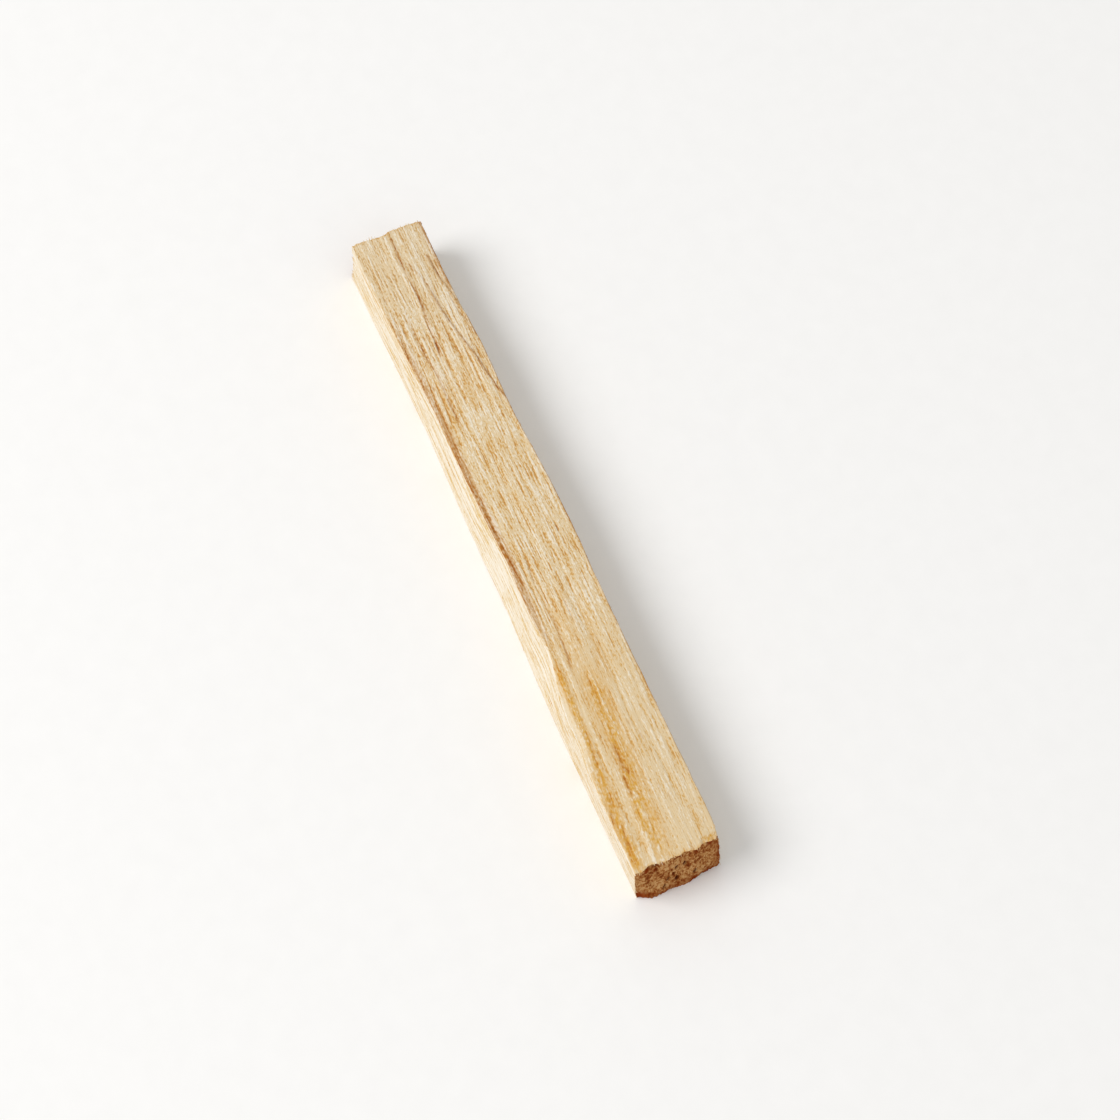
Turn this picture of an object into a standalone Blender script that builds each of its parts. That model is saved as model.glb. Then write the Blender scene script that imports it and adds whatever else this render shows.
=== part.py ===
"""A palo santo stick: one split and sawn length of pale wood, as a single solid.

The stick lies along X on its flat underside, broad face up. Its brown end, which leans and is rough from
the saw, is at +X, and its palest side, which was split off, is at -Y. The origin is at the bottom centre
of its box. The form is worked out in millimetres and written to the mesh in metres.

Every long edge is a straight taper plus a wander, a smooth curve through a few (place, offset) points. A
place is a fraction of the length, 0 at the far end and 1 at the brown end. The surfaces are functions of
place and of the distance across, so a grid of any fineness can be laid on them.
"""

import bmesh
import bpy
import numpy as np

MM = 0.001

# Driving dimensions
FAR_END = -50.7
NEAR_END = 49.8
WIDTH_FAR = 10.2
WIDTH_NEAR = 11.4
THICKNESS_FAR = 7.55
THICKNESS_NEAR = 8.2

# Grid: stations along the stick and rows up its sides
STATIONS = 90
END_STATIONS = (0.35, 0.95)
ROWS = 8
CUT_TOLERANCE = 1e-6
ARRIS = 0.2
ARRIS_DROP = 0.08

# Wander of the long edges, (place, offset in mm), +Y being to the right
RIGHT_EDGE = (
    (0, 0), (0.13, 0), (0.18, 0.2), (0.24, 0.24), (0.31, 0.07), (0.37, 0.16), (0.43, 0.4), (0.53, 0.48),
    (0.6, 0.25), (0.67, 0.14), (0.77, 0.08), (0.85, 0.04), (0.94, -0.02), (0.975, -0.08), (1, -0.34),
)
LEFT_EDGE = (
    (0, -0.02), (0.04, -0.02), (0.1, 0.12), (0.17, 0.35), (0.24, 0.65), (0.32, 0.84), (0.4, 0.84),
    (0.48, 1.05), (0.53, 1.24), (0.58, 1.15), (0.63, 1.13), (0.68, 1.35), (0.715, 0.85), (0.76, 0.06),
    (0.82, -0.08), (0.865, -0.41), (0.9, -0.5), (0.95, -0.5), (1, -0.44),
)
LEFT_FOOT = (
    (0, -0.49), (0.1, -0.28), (0.2, 0), (0.27, 0.09), (0.34, 0.01), (0.42, -0.12), (0.48, -0.1),
    (0.55, 0.01), (0.62, -0.13), (0.69, -0.28), (0.76, -0.33), (0.84, -0.26), (0.92, -0.16), (1, -0.07),
)
RIGHT_FOOT = ((0, 0.05), (0.2, 0.3), (0.38, 0.15), (0.55, 0.42), (0.75, 0.3), (0.88, 0.12), (1, 0.06))

# Ends: how far each point of the top and bottom rim stands out, (distance across, offset)
NEAR_RIM = (
    (-5.9, 0.12), (-4.9, 0.08), (-4.3, -0.14), (-2.9, -0.05), (-2.3, 0.1), (-1.1, 0), (1.4, -0.06),
    (2, 0.1), (3.1, -0.3), (4.7, -0.45), (5.5, -0.62),
)
NEAR_FOOT = (
    (-5.7, 0.1), (-5.1, 0.45), (-4.5, 0.75), (-3.7, 0.92), (-1.1, 0.74), (1.8, 0.6), (3.7, 0.2), (5.7, -0.1),
)
FAR_RIM = ((-5.1, 0.2), (-2.5, 0.15), (-1.4, 0.3), (0.3, 0), (2.1, -0.1), (3.8, -0.2), (5.1, 0))
FAR_HOLLOW = 0.8
HOLLOW_SPREAD = 8.0
HOLLOW_LEAST = 0.15
END_BLEND = 3.0

# Ledges, where a sliver has split away to the right: line, (place, distance across), and step down
LEDGE_LONG = (
    (0.06, 1.1), (0.09, 1.9), (0.136, 2.4), (0.161, 2.7), (0.198, 3.3), (0.226, 3.9), (0.262, 4.4),
    (0.285, 4.8), (0.31, 5.4),
)
LEDGE_LONG_STEP = ((0.05, 0), (0.1, 0.06), (0.17, 0.11), (0.26, 0.1), (0.31, 0.07))
LEDGE_SHORT = ((0.055, 3.9), (0.092, 4.1), (0.121, 4.66), (0.147, 5.05), (0.175, 5.5))
LEDGE_SHORT_STEP = ((0.04, 0), (0.08, 0.08), (0.15, 0.09), (0.175, 0.06))
LEDGE_RAMP = 0.11

# Fissures along the grain of the top face: line, (place, distance across), depth and half width
FISSURE_MIDDLE = (
    (0.01, 0.14), (0.05, 0.08), (0.133, 0.17), (0.165, -0.1), (0.194, -0.3), (0.241, -0.83), (0.32, -1.02),
)
FISSURE_MIDDLE_DEPTH = (
    (0.015, 0), (0.05, 0.08), (0.13, 0.08), (0.195, 0.18), (0.215, 0.08), (0.26, 0.06), (0.32, 0),
)
FISSURE_LEFT = ((0.12, -2.3), (0.21, -2.3), (0.242, -1.95), (0.271, -2.02), (0.34, -2.04))
FISSURE_LEFT_DEPTH = ((0.13, 0), (0.2, 0.05), (0.25, 0.09), (0.3, 0.04), (0.34, 0))
FISSURE_NEAR = ((0.52, -1.8), (0.57, -2.02), (0.67, -1.97), (0.7, -2.3), (0.725, -2.7))
FISSURE_NEAR_DEPTH = ((0.53, 0), (0.56, 0.06), (0.62, 0.03), (0.69, 0.06), (0.725, 0))
FISSURE_HALF_WIDTH = 0.16
FISSURE_WANDER = 0.1
WANDER_LENGTH = 2.4

# Where the grid's columns run so that ledges and fissures stay crisp, (place, distance across)
GUIDE_LEFT = FISSURE_LEFT[:4] + ((0.36, -2.1), (0.48, -1.8)) + FISSURE_NEAR[1:] + ((0.85, -3.1), (1, -3.2))
GUIDE_MIDDLE = FISSURE_MIDDLE + ((0.5, -0.3), (0.72, -0.6), (1, -0.3))
GUIDE_LEDGE = LEDGE_LONG[1:8] + ((0.34, 4.4), (0.42, 3.7), (0.7, 3), (1, 2.8))
GUIDE_GAPS = (1, 3, 1, 1, 3, 1, 1, 4, 1, 2, 1, 1, 1)
COLUMNS = sum(GUIDE_GAPS)

# Bevel torn at the top right corner of the brown end
CORNER_START = 48.7
CORNER_ACROSS = 2.9
CORNER_SLOPES = (1.1, 0.5)
CORNER_DROP = 0.2

# The left top edge split off at a slant, (place, drop), and how far in from the edge the slant reaches
BEVEL = ((0.69, 0), (0.74, 0.16), (0.82, 0.18), (0.86, 0))
BEVEL_WIDTH = 0.75

# A long splinter torn off the right side, and the side's own wander
SPLINTER = ((0.28, 5.2), (0.4, 4.6), (0.58, 4.9), (0.74, 4.2), (0.86, 3.6))
SPLINTER_STEP = ((0.26, 0), (0.36, 0.3), (0.6, 0.38), (0.8, 0.25), (0.88, 0))
SPLINTER_RAMP = 0.5
SPLINTER_FADE = 0.11

# Channels in the flat underside: line, (place, distance across), and depth
CHANNEL_LEFT = ((0.0, -3.4), (0.3, -3), (0.62, -3.3))
CHANNEL_LEFT_DEPTH = ((0, 0.3), (0.35, 0.22), (0.6, 0))
CHANNEL_RIGHT = ((0.42, 3), (0.7, 2.6), (1, 2.9))
CHANNEL_RIGHT_DEPTH = ((0.45, 0), (0.7, 0.25), (1, 0.35))
CHANNEL_HALF_WIDTH = 0.8

# Drift of the grain across the stick, (place, distance across), which fans out to the left of a line
GRAIN_DRIFT = (
    (0, 0.2), (0.2, -0.2), (0.3, -0.7), (0.45, -0.7), (0.6, -0.1), (0.72, -0.3), (0.85, -1.3), (1, -2.5),
)
FAN_START = 1.0
FAN_WIDTH = 8.5
FAN_LEAST = 0.15

# Swells and finer ribs of the split surfaces: length along the grain, width across it, and height. The ribs
# stand higher near the far end, and on the sides both fade out towards the edges.
SWELL_LENGTH = 13.0
SWELL_WIDTH = 1.9
SWELL_HEIGHT = 0.05
RIB_LENGTH = 12.0
RIB_WIDTH = 0.8
RIB_HEIGHT = 0.03
RIB_FAR_GAIN = 0.8
RIB_FAR_REACH = 0.3
RELIEF_FADE = 2.0
CROWN = 0.12
SIDE_BULGE = 0.12
LEFT_SMOOTHNESS = 0.7

# Roughness and pits of the sawn ends, pits as (distance across, height) with a flat floor and a sloping wall
ROUGH_GRAIN = 0.9
ROUGH_HEIGHT = 0.08
NEAR_PITS = (
    (-0.3, 2.3), (-0.4, 5.2), (0.7, 5.4), (-0.9, 3.8), (-1.6, 2.9), (1.7, 2.4), (2.3, 2.5), (-2.2, 1.6),
    (-3.2, 6.6),
)
FAR_PITS = ((-3.4, 4.6), (-1.0, 2.2), (0.9, 5.7), (2.6, 3.1), (3.9, 6.0), (-2.2, 6.6))
PIT_FLOOR = 0.1
PIT_SLOPE = 0.4
PIT_DEPTH = 0.4
SEED = 7
FIELD_SIZE = 64

PALE_WOOD = (0.68, 0.50, 0.29, 1.0)
BROWN_END = (0.29, 0.13, 0.05, 1.0)
WOOD_ROUGHNESS = 0.72


def ease(t):
    """Smooth rise from 0 to 1."""
    t = np.clip(t, 0.0, 1.0)
    return t * t * (3 - 2 * t)


def hump(t):
    """Rise from 0 to 1 halfway and back to 0."""
    return 4 * t * (1 - t)


def through(points, place):
    """Smooth curve through (place, value) points, level beyond the first and the last."""
    places, values = np.array(points, float).T
    slopes = np.gradient(values, places)
    place = np.clip(place, places[0], places[-1])
    i = np.clip(np.searchsorted(places, place) - 1, 0, len(places) - 2)
    span = places[i + 1] - places[i]
    t = (place - places[i]) / span
    start = (1 + 2 * t) * (1 - t) ** 2 * values[i] + t * (1 - t) ** 2 * span * slopes[i]
    end = t * t * (3 - 2 * t) * values[i + 1] - t * t * (1 - t) * span * slopes[i + 1]
    return start + end


def swell(along, across, seed):
    """Smooth random field between -1 and 1, one new value in each unit square."""
    table = np.random.default_rng(seed).uniform(-1.0, 1.0, (FIELD_SIZE, FIELD_SIZE))
    column, row = np.floor(along).astype(int), np.floor(across).astype(int)
    t, s = ease(along - column), ease(across - row)
    this, after = column % FIELD_SIZE, (column + 1) % FIELD_SIZE
    low, high = row % FIELD_SIZE, (row + 1) % FIELD_SIZE
    near = table[this, low] * (1 - s) + table[this, high] * s
    far = table[after, low] * (1 - s) + table[after, high] * s
    return near * (1 - t) + far * t


def split_surface(place, across, seed):
    """Relief of wood split along its grain: broad swells, and ribs that stand higher towards the far end."""
    distance = place * (NEAR_END - FAR_END)
    broad = SWELL_HEIGHT * swell(distance / SWELL_LENGTH, across / SWELL_WIDTH, seed)
    gain = 1 + RIB_FAR_GAIN * ease(1 - place / RIB_FAR_REACH)
    return broad + gain * RIB_HEIGHT * swell(distance / RIB_LENGTH, across / RIB_WIDTH, seed + 10)


def place_of(x):
    """Fraction of the length at x."""
    return (x - FAR_END) / (NEAR_END - FAR_END)


def drift(place, y):
    """How far the grain has drifted across the stick, most on its left and hardly on its right."""
    return through(GRAIN_DRIFT, place) * (FAN_LEAST + (1 - FAN_LEAST) * ease((FAN_START - y) / FAN_WIDTH))


def half_width(place):
    """Half the width of the straight taper."""
    return (WIDTH_FAR + (WIDTH_NEAR - WIDTH_FAR) * place) / 2


def left_side(place, up):
    """Y of the split left side, up being 0 at the foot and 1 at the top edge."""
    lean = through(LEFT_FOOT, place) * (1 - up) + through(LEFT_EDGE, place) * up
    relief = split_surface(place, up * thickness(place), SEED + 1) * ease(RELIEF_FADE * hump(up))
    return lean - half_width(place) - SIDE_BULGE * hump(up) + LEFT_SMOOTHNESS * relief


def right_side(place, up):
    """Y of the right side, with the splinter torn off its upper part."""
    lean = through(RIGHT_FOOT, place) * (1 - up) + through(RIGHT_EDGE, place) * up
    height = up * thickness(place)
    torn = through(SPLINTER_STEP, place) * ease((height - through(SPLINTER, place)) / SPLINTER_RAMP)
    torn = torn * ease((1 - up) / SPLINTER_FADE)
    relief = split_surface(place, height, SEED + 2) * ease(RELIEF_FADE * hump(up))
    return lean + half_width(place) + SIDE_BULGE / 2 * hump(up) - torn + relief


def thickness(place):
    """Straight taper of the thickness."""
    return THICKNESS_FAR + (THICKNESS_NEAR - THICKNESS_FAR) * place


def torn_line(line, place):
    """Distance across of a crack or ledge, which wavers from fibre to fibre about its line."""
    distance = place * (NEAR_END - FAR_END)
    wander = FISSURE_WANDER * swell(distance / WANDER_LENGTH, 0.5 * np.ones_like(place), SEED + 6)
    return through(line, place) + wander


def fissure(place, y, line, depth, half):
    """Depth of a crack that follows a line along the grain."""
    return through(depth, place) * np.clip(1 - np.abs(y - torn_line(line, place)) / half, 0, 1)


def ledge(place, y, line, step):
    """Drop of the surface to the right of a ledge."""
    inside = (place >= line[0][0]) & (place <= line[-1][0])
    return inside * through(step, place) * ease((y - torn_line(line, place)) / LEDGE_RAMP)


def worn_edge(from_left, from_right):
    """Drop of a face within a worn long edge, from its distances to the two edges."""
    return ARRIS_DROP * (1 - np.minimum(from_left, from_right) / ARRIS).clip(0, 1)


def top_face(x, y):
    """Height of the broad face."""
    place = place_of(x)
    left, right = left_side(place, 1.0), right_side(place, 1.0)
    share = (y - left) / (right - left)
    height = thickness(place) + CROWN * hump(share)
    height += split_surface(place, y - drift(place, y), SEED)
    height -= ledge(place, y, LEDGE_LONG, LEDGE_LONG_STEP)
    height -= ledge(place, y, LEDGE_SHORT, LEDGE_SHORT_STEP)
    height -= fissure(place, y, FISSURE_MIDDLE, FISSURE_MIDDLE_DEPTH, FISSURE_HALF_WIDTH)
    height -= fissure(place, y, FISSURE_LEFT, FISSURE_LEFT_DEPTH, FISSURE_HALF_WIDTH)
    height -= fissure(place, y, FISSURE_NEAR, FISSURE_NEAR_DEPTH, FISSURE_HALF_WIDTH)
    along, across = (x - CORNER_START) / CORNER_SLOPES[0], (y - CORNER_ACROSS) / CORNER_SLOPES[1]
    height -= CORNER_DROP * ease(along) * ease(across)
    height -= through(BEVEL, place) * ease(1 - (y - left) / BEVEL_WIDTH)
    return height - worn_edge(y - left, right - y)


def underside(x, y):
    """Height of the underside: flat at 0 but for two channels and its worn edges."""
    place = place_of(x)
    left, right = left_side(place, 0.0), right_side(place, 0.0)
    height = fissure(place, y, CHANNEL_LEFT, CHANNEL_LEFT_DEPTH, CHANNEL_HALF_WIDTH)
    height += fissure(place, y, CHANNEL_RIGHT, CHANNEL_RIGHT_DEPTH, CHANNEL_HALF_WIDTH)
    return height + worn_edge(y - left, right - y)


def pits(y, z, centres):
    """Depth of the pits in a sawn end."""
    depth = np.zeros_like(y)
    for centre_y, centre_z in centres:
        distance = np.hypot(y - centre_y, z - centre_z)
        depth = np.maximum(depth, PIT_DEPTH * ease(1 - (distance - PIT_FLOOR) / PIT_SLOPE))
    return depth


def near_end(y, up):
    """How far the brown end stands out past its nominal plane."""
    z = up * THICKNESS_NEAR
    lean = through(NEAR_FOOT, y) * (1 - up) + through(NEAR_RIM, y) * up
    return lean + ROUGH_HEIGHT * swell(y / ROUGH_GRAIN, z / ROUGH_GRAIN, SEED + 3) - pits(y, z, NEAR_PITS)


def far_end(y, up):
    """How far the far end stands in from its nominal plane."""
    z = up * THICKNESS_FAR
    left_weight = np.clip(0.5 - y / HOLLOW_SPREAD, HOLLOW_LEAST, 1)
    hollow = FAR_HOLLOW * hump(up) * left_weight
    rough = ROUGH_HEIGHT * swell(y / ROUGH_GRAIN, z / ROUGH_GRAIN, SEED + 4)
    return through(FAR_RIM, y) + hollow + rough + pits(y, z, FAR_PITS)


def stations():
    """X of every station, closer together at the two ends."""
    inset = END_STATIONS[-1]
    inner = np.linspace(FAR_END + inset, NEAR_END - inset, STATIONS - 2 * len(END_STATIONS) + 1)
    far = [FAR_END] + [FAR_END + step for step in END_STATIONS[:-1]]
    near = [NEAR_END - step for step in reversed(END_STATIONS[:-1])] + [NEAR_END]
    return np.concatenate([far, inner, near])


def rows():
    """Heights of the grid's rows as shares of the thickness, the first and last close to the edges."""
    edge = ARRIS / THICKNESS_FAR
    return np.concatenate([[0], np.linspace(edge, 1 - edge, ROWS - 1), [1]])


def top_columns(place):
    """Y of every column on the broad face at one place: on the guides, and evenly between them."""
    left, right = left_side(place, 1.0), right_side(place, 1.0)
    grooves = [torn_line(GUIDE_LEFT, place), torn_line(GUIDE_MIDDLE, place)]
    lips = [y + side * FISSURE_HALF_WIDTH for y in grooves for side in (-1, 0, 1)]
    short = min(torn_line(LEDGE_SHORT, place), right - 2 * ARRIS - LEDGE_RAMP)
    long = min(torn_line(GUIDE_LEDGE, place), short - 2 * LEDGE_RAMP)
    steps = [long, long + LEDGE_RAMP, short, short + LEDGE_RAMP]
    guides = [left, left + ARRIS, *lips, *steps, right - ARRIS, right]
    spread = [np.linspace(a, b, gap, endpoint=False) for a, b, gap in zip(guides, guides[1:], GUIDE_GAPS)]
    return np.append(np.concatenate(spread), right)


def bottom_columns(place):
    """Y of every column on the underside at one place, evenly between its worn edges."""
    left, right = left_side(place, 0.0), right_side(place, 0.0)
    return np.concatenate([[left], np.linspace(left + ARRIS, right - ARRIS, COLUMNS - 1), [right]])


def box_grid():
    """A unit cube cut into the grid's stations, columns and rows."""
    grid = bmesh.new()
    bmesh.ops.create_cube(grid, size=1.0)
    for axis, count in enumerate((STATIONS, COLUMNS, ROWS)):
        normal = [float(axis == other) for other in range(3)]
        for cut in range(1, count):
            place = [(cut / count - 0.5) * component for component in normal]
            everything = grid.verts[:] + grid.edges[:] + grid.faces[:]
            bmesh.ops.bisect_plane(
                grid, geom=everything, plane_co=place, plane_no=normal, dist=CUT_TOLERANCE,
            )
    return grid


def form_points(index):
    """Millimetre position of every grid point from its (station, column, row) index."""
    i, j, k = index.T
    x = stations()[i]
    up = rows()[k]
    place = place_of(x)
    top = np.array([top_columns(p) for p in place_of(stations())])
    bottom = np.array([bottom_columns(p) for p in place_of(stations())])
    left, right = left_side(place, up), right_side(place, up)
    top_share = (top[i, j] - top[i, 0]) / (top[i, -1] - top[i, 0])
    bottom_share = (bottom[i, j] - bottom[i, 0]) / (bottom[i, -1] - bottom[i, 0])
    share = bottom_share * (1 - up) + top_share * up
    y = left + (right - left) * share
    z = underside(x, y) * (1 - up) + top_face(x, y) * up
    x = x + near_end(y, up) * ease(1 - (NEAR_END - x) / END_BLEND)
    x = x + far_end(y, up) * ease(1 - (x - FAR_END) / END_BLEND)
    return np.stack([x, y, z], axis=1)


def centred(points):
    """The points moved so that their box stands centred on the origin."""
    low, high = points.min(axis=0), points.max(axis=0)
    return points - [(low[0] + high[0]) / 2, (low[1] + high[1]) / 2, low[2]]


def wood(name, colour):
    """A rough, unvarnished wood."""
    material = bpy.data.materials.new(name)
    material.use_nodes = True
    shader = material.node_tree.nodes["Principled BSDF"]
    shader.inputs["Base Color"].default_value = colour
    shader.inputs["Roughness"].default_value = WOOD_ROUGHNESS
    shader.inputs["Metallic"].default_value = 0.0
    return material


def make_stick(collection):
    """The stick: the grid laid on the surfaces above."""
    grid = box_grid()
    grid.verts.ensure_lookup_table()
    corner = np.array([vertex.co[:] for vertex in grid.verts]) + 0.5
    index = np.rint(corner * (STATIONS, COLUMNS, ROWS)).astype(int)
    for vertex, point in zip(grid.verts, centred(form_points(index)) * MM):
        vertex.co = point
    for face in grid.faces:
        stations_met = {index[vertex.index][0] for vertex in face.verts}
        face.material_index = int(stations_met == {STATIONS})
    bmesh.ops.recalc_face_normals(grid, faces=grid.faces)
    mesh = bpy.data.meshes.new("stick")
    grid.to_mesh(mesh)
    grid.free()
    mesh.materials.append(wood("pale split wood", PALE_WOOD))
    mesh.materials.append(wood("brown sawn end", BROWN_END))
    stick = bpy.data.objects.new("stick", mesh)
    collection.objects.link(stick)
    return stick


def main():
    """Clear the scene and make the stick in a collection of its own."""
    for old in list(bpy.data.objects):
        bpy.data.objects.remove(old, do_unlink=True)
    collection = bpy.data.collections.new("palo santo stick")
    bpy.context.scene.collection.children.link(collection)
    make_stick(collection)


main()
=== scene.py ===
"""Looks of a palo santo stick: one split and sawn length of pale wood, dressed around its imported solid.

The stick lies along X on its flat underside, its brown sawn end at +X and its palest side at -Y. Its form is
worked out in millimetres by the same curves as the solid, on a grid fine enough to hold single fibres. A
place is a fraction of the stick's length, 0 at the far end and 1 at the brown end.
"""

import logging
import math
from dataclasses import dataclass
from enum import Enum

import bpy
import numpy as np
from mathutils import Euler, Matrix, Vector


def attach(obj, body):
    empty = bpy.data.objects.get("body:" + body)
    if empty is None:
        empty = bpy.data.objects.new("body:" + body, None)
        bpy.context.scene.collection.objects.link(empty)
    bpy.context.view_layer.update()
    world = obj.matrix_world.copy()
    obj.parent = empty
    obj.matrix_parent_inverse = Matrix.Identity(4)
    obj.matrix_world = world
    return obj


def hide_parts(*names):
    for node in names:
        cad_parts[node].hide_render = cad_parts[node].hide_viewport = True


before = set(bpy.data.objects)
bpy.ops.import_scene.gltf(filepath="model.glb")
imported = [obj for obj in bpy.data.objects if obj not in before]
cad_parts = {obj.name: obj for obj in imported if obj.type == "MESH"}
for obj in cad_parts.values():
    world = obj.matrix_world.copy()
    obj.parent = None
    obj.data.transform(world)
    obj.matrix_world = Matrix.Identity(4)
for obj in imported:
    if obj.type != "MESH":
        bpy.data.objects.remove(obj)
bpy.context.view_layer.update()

MM = 0.001
SEED = 7  # each pattern of the form adds a number of its own to it
FIELD_SIZE = 64
MEAN = 0.5  # what a noise comes to on average
SHARP_ANGLE = 70.0  # degrees between faces from which an edge shows as sharp
MATH = "ShaderNodeMath"
VECTOR = "ShaderNodeVectorMath"

log = logging.getLogger("palo_santo_stick")

Array = np.ndarray
Tree = bpy.types.NodeTree
Socket = bpy.types.NodeSocket
Object = bpy.types.Object
Material = bpy.types.Material
ShapeTree = bpy.types.GeometryNodeTree
Feed = float | Socket | bpy.types.Node  # what an input takes: a number, a socket or a node's first output
Pair = tuple[float, float]
Points = tuple[Pair, ...]
Spots = tuple[tuple[float, float, float], ...]
Colour = tuple[float, float, float, float]


def linear(code: str) -> Colour:
    """Turns an sRGB hex colour into a linear one.

    Args:
        code: The colour as six hex digits.

    Returns:
        Red, green, blue and an alpha of 1.
    """
    parts = [int(code[i:i + 2], 16) / 255 for i in (0, 2, 4)]
    return (*(p / 12.92 if p <= 0.04045 else ((p + 0.055) / 1.055) ** 2.4 for p in parts), 1.0)


def add(
    tree: Tree, kind: str, inputs: dict | tuple = (), stops: tuple = (), **settings: object
) -> bpy.types.Node:
    """Adds a node to a tree, sets it up and links what feeds it.

    Args:
        tree: The tree of a material or of a shape.
        kind: The node's type.
        inputs: A value, a socket or a node for each input, by its name or number or else in their order.
        stops: The (place, colour) stops of a colour ramp.
        **settings: The node's own options.

    Returns:
        The new node.
    """
    node = tree.nodes.new(kind)
    for name, value in settings.items():
        setattr(node, name, value)
    for name, value in inputs.items() if isinstance(inputs, dict) else enumerate(inputs):
        feed = value.outputs[0] if isinstance(value, bpy.types.Node) else value
        if isinstance(feed, Socket):
            tree.links.new(feed, node.inputs[name])
        else:
            node.inputs[name].default_value = feed
    for _ in stops[2:]:
        node.color_ramp.elements.new(1.0)
    for index, (place, colour) in enumerate(stops):
        node.color_ramp.elements[index].position = place
        node.color_ramp.elements[index].color = colour
    return node


def in_cells(tree: Tree, place: Feed, length: Feed, width: Feed) -> bpy.types.Node:
    """Measures a place in cells that are drawn out along the grain.

    Args:
        tree: The tree to add to.
        place: The place in the wood, in mm.
        length: The cells' length along the grain in mm.
        width: Their width across it in mm.

    Returns:
        The node that gives the place in cells.
    """
    size = add(tree, "ShaderNodeCombineXYZ", {"X": length, "Y": width, "Z": width})
    return add(tree, VECTOR, (place, size), operation="DIVIDE")


def along_grain(
    tree: Tree, place: Feed, length: Feed, width: Feed, detail: float = 1.0, seed: float = 0.0
) -> Socket:
    """Noise drawn out along the grain, for a shape or a colour.

    Args:
        tree: The tree to add it to.
        place: The place in the wood, in mm.
        length: Its length along the grain in mm.
        width: Its width across the grain in mm.
        detail: How many finer layers it has.
        seed: Moves the noise to another part of its field.

    Returns:
        A socket with values from 0 to 1, MEAN on average.
    """
    unit = in_cells(tree, place, length, width)
    moved = add(tree, VECTOR, (unit, (seed, seed, seed)), operation="ADD")
    return add(tree, "ShaderNodeTexNoise", {"Vector": moved, "Scale": 1.0, "Detail": detail}).outputs[0]


def weighted(tree: Tree, start: Feed, terms: tuple[tuple[Feed, Feed, float], ...]) -> Socket:
    """Adds up patterns about their middle.

    Args:
        tree: The tree to add to.
        start: What the sum starts from.
        terms: (pattern, weight, middle) for each pattern.

    Returns:
        The start plus each weight times how far its pattern is above its middle.
    """
    total = start
    for pattern, weight, middle in terms:
        above = add(tree, MATH, (pattern, middle), operation="SUBTRACT")
        total = add(tree, MATH, (above, weight, total), operation="MULTIPLY_ADD")
    return total.outputs[0]


def new_material(name: str) -> Material:
    """Starts a material.

    Args:
        name: Its name.

    Returns:
        The material, with an empty node tree.
    """
    material = bpy.data.materials.new(name)
    material.use_nodes = True
    material.node_tree.nodes.clear()
    return material


def new_shape(name: str, values: dict[str, float]) -> ShapeTree:
    """Starts a tree that takes a mesh and gives one back.

    Args:
        name: The tree's name.
        values: What its other inputs will be set to, by name.

    Returns:
        The tree, with its inputs and its output and no nodes.
    """
    tree = bpy.data.node_groups.new(name, "GeometryNodeTree")
    tree.interface.new_socket("Geometry", in_out="INPUT", socket_type="NodeSocketGeometry")
    for title, value in values.items():
        kind = "NodeSocketInt" if isinstance(value, int) else "NodeSocketFloat"
        tree.interface.new_socket(title, in_out="INPUT", socket_type=kind)
    tree.interface.new_socket("Geometry", in_out="OUTPUT", socket_type="NodeSocketGeometry")
    return tree


def new_object(name: str, data: bpy.types.ID) -> Object:
    """Adds an object to the scene.

    Args:
        name: Its name.
        data: Its mesh, light or camera.

    Returns:
        The object.
    """
    added = bpy.data.objects.new(name, data)
    bpy.context.scene.collection.objects.link(added)
    return added


@dataclass(frozen=True)
class Grain:
    """Sizes in mm of the wood's fibres, which the relief and the colour both follow."""

    # Real fibres are 0.02 to 0.04 mm wide, too fine to show, so they are drawn as coarse as they need to be
    jitter_length: float = 0.6
    jitter_width: float = 0.3
    jitter: float = 0.22
    ridge_length: float = 8.0
    ridge_width: float = 0.34
    fibre_length: float = 3.2
    fibre_width: float = 0.158
    dash_length: float = 2.6
    dash_width: float = 0.15
    dash_share: float = 0.63
    dash_edge: float = 12.0

    def draw(self, tree: Tree, place: Feed, size: dict[str, Feed]) -> dict[str, Socket]:
        """Draws the fibres in a tree.

        Args:
            tree: The tree of the relief or of the finish.
            place: The place in the wood, in mm.
            size: This class's sizes by name, as numbers or sockets.

        Returns:
            The sockets of "ridge" and "fibre", MEAN on average, and of "dash", 1 in a dash and else 0.
        """
        spot = in_cells(tree, place, size["jitter_length"], size["jitter_width"])
        noise = add(tree, "ShaderNodeTexNoise", {"Vector": spot, "Scale": 1.0, "Detail": 1.0})
        middle = add(tree, VECTOR, (noise.outputs["Color"], (MEAN, MEAN, MEAN)), operation="SUBTRACT")
        reach = add(tree, "ShaderNodeCombineXYZ", {"X": 0.0, "Y": size["jitter"], "Z": size["jitter"]})
        frayed = add(tree, VECTOR, (middle, reach, place), operation="MULTIPLY_ADD")
        drawn = {
            name: along_grain(tree, frayed, size[f"{name}_length"], size[f"{name}_width"], detail, seed)
            for name, detail, seed in (("ridge", 0.0, 3.0), ("fibre", 1.0, 8.0), ("dash", 0.0, 11.0))
        }
        over = add(tree, MATH, (drawn["dash"], size["dash_share"]), operation="SUBTRACT")
        dash = add(tree, MATH, (over, size["dash_edge"]), operation="MULTIPLY", use_clamp=True)
        return {**drawn, "dash": dash.outputs[0]}


def ease(t: Array) -> Array:
    """Rises smoothly from 0 to 1, level outside."""
    t = np.clip(t, 0.0, 1.0)
    return t * t * (3 - 2 * t)


def hump(share: Array) -> Array:
    """Rises from 0 to 1 in the middle and falls to 0 again, over shares from 0 to 1."""
    return 4 * share * (1 - share)


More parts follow.
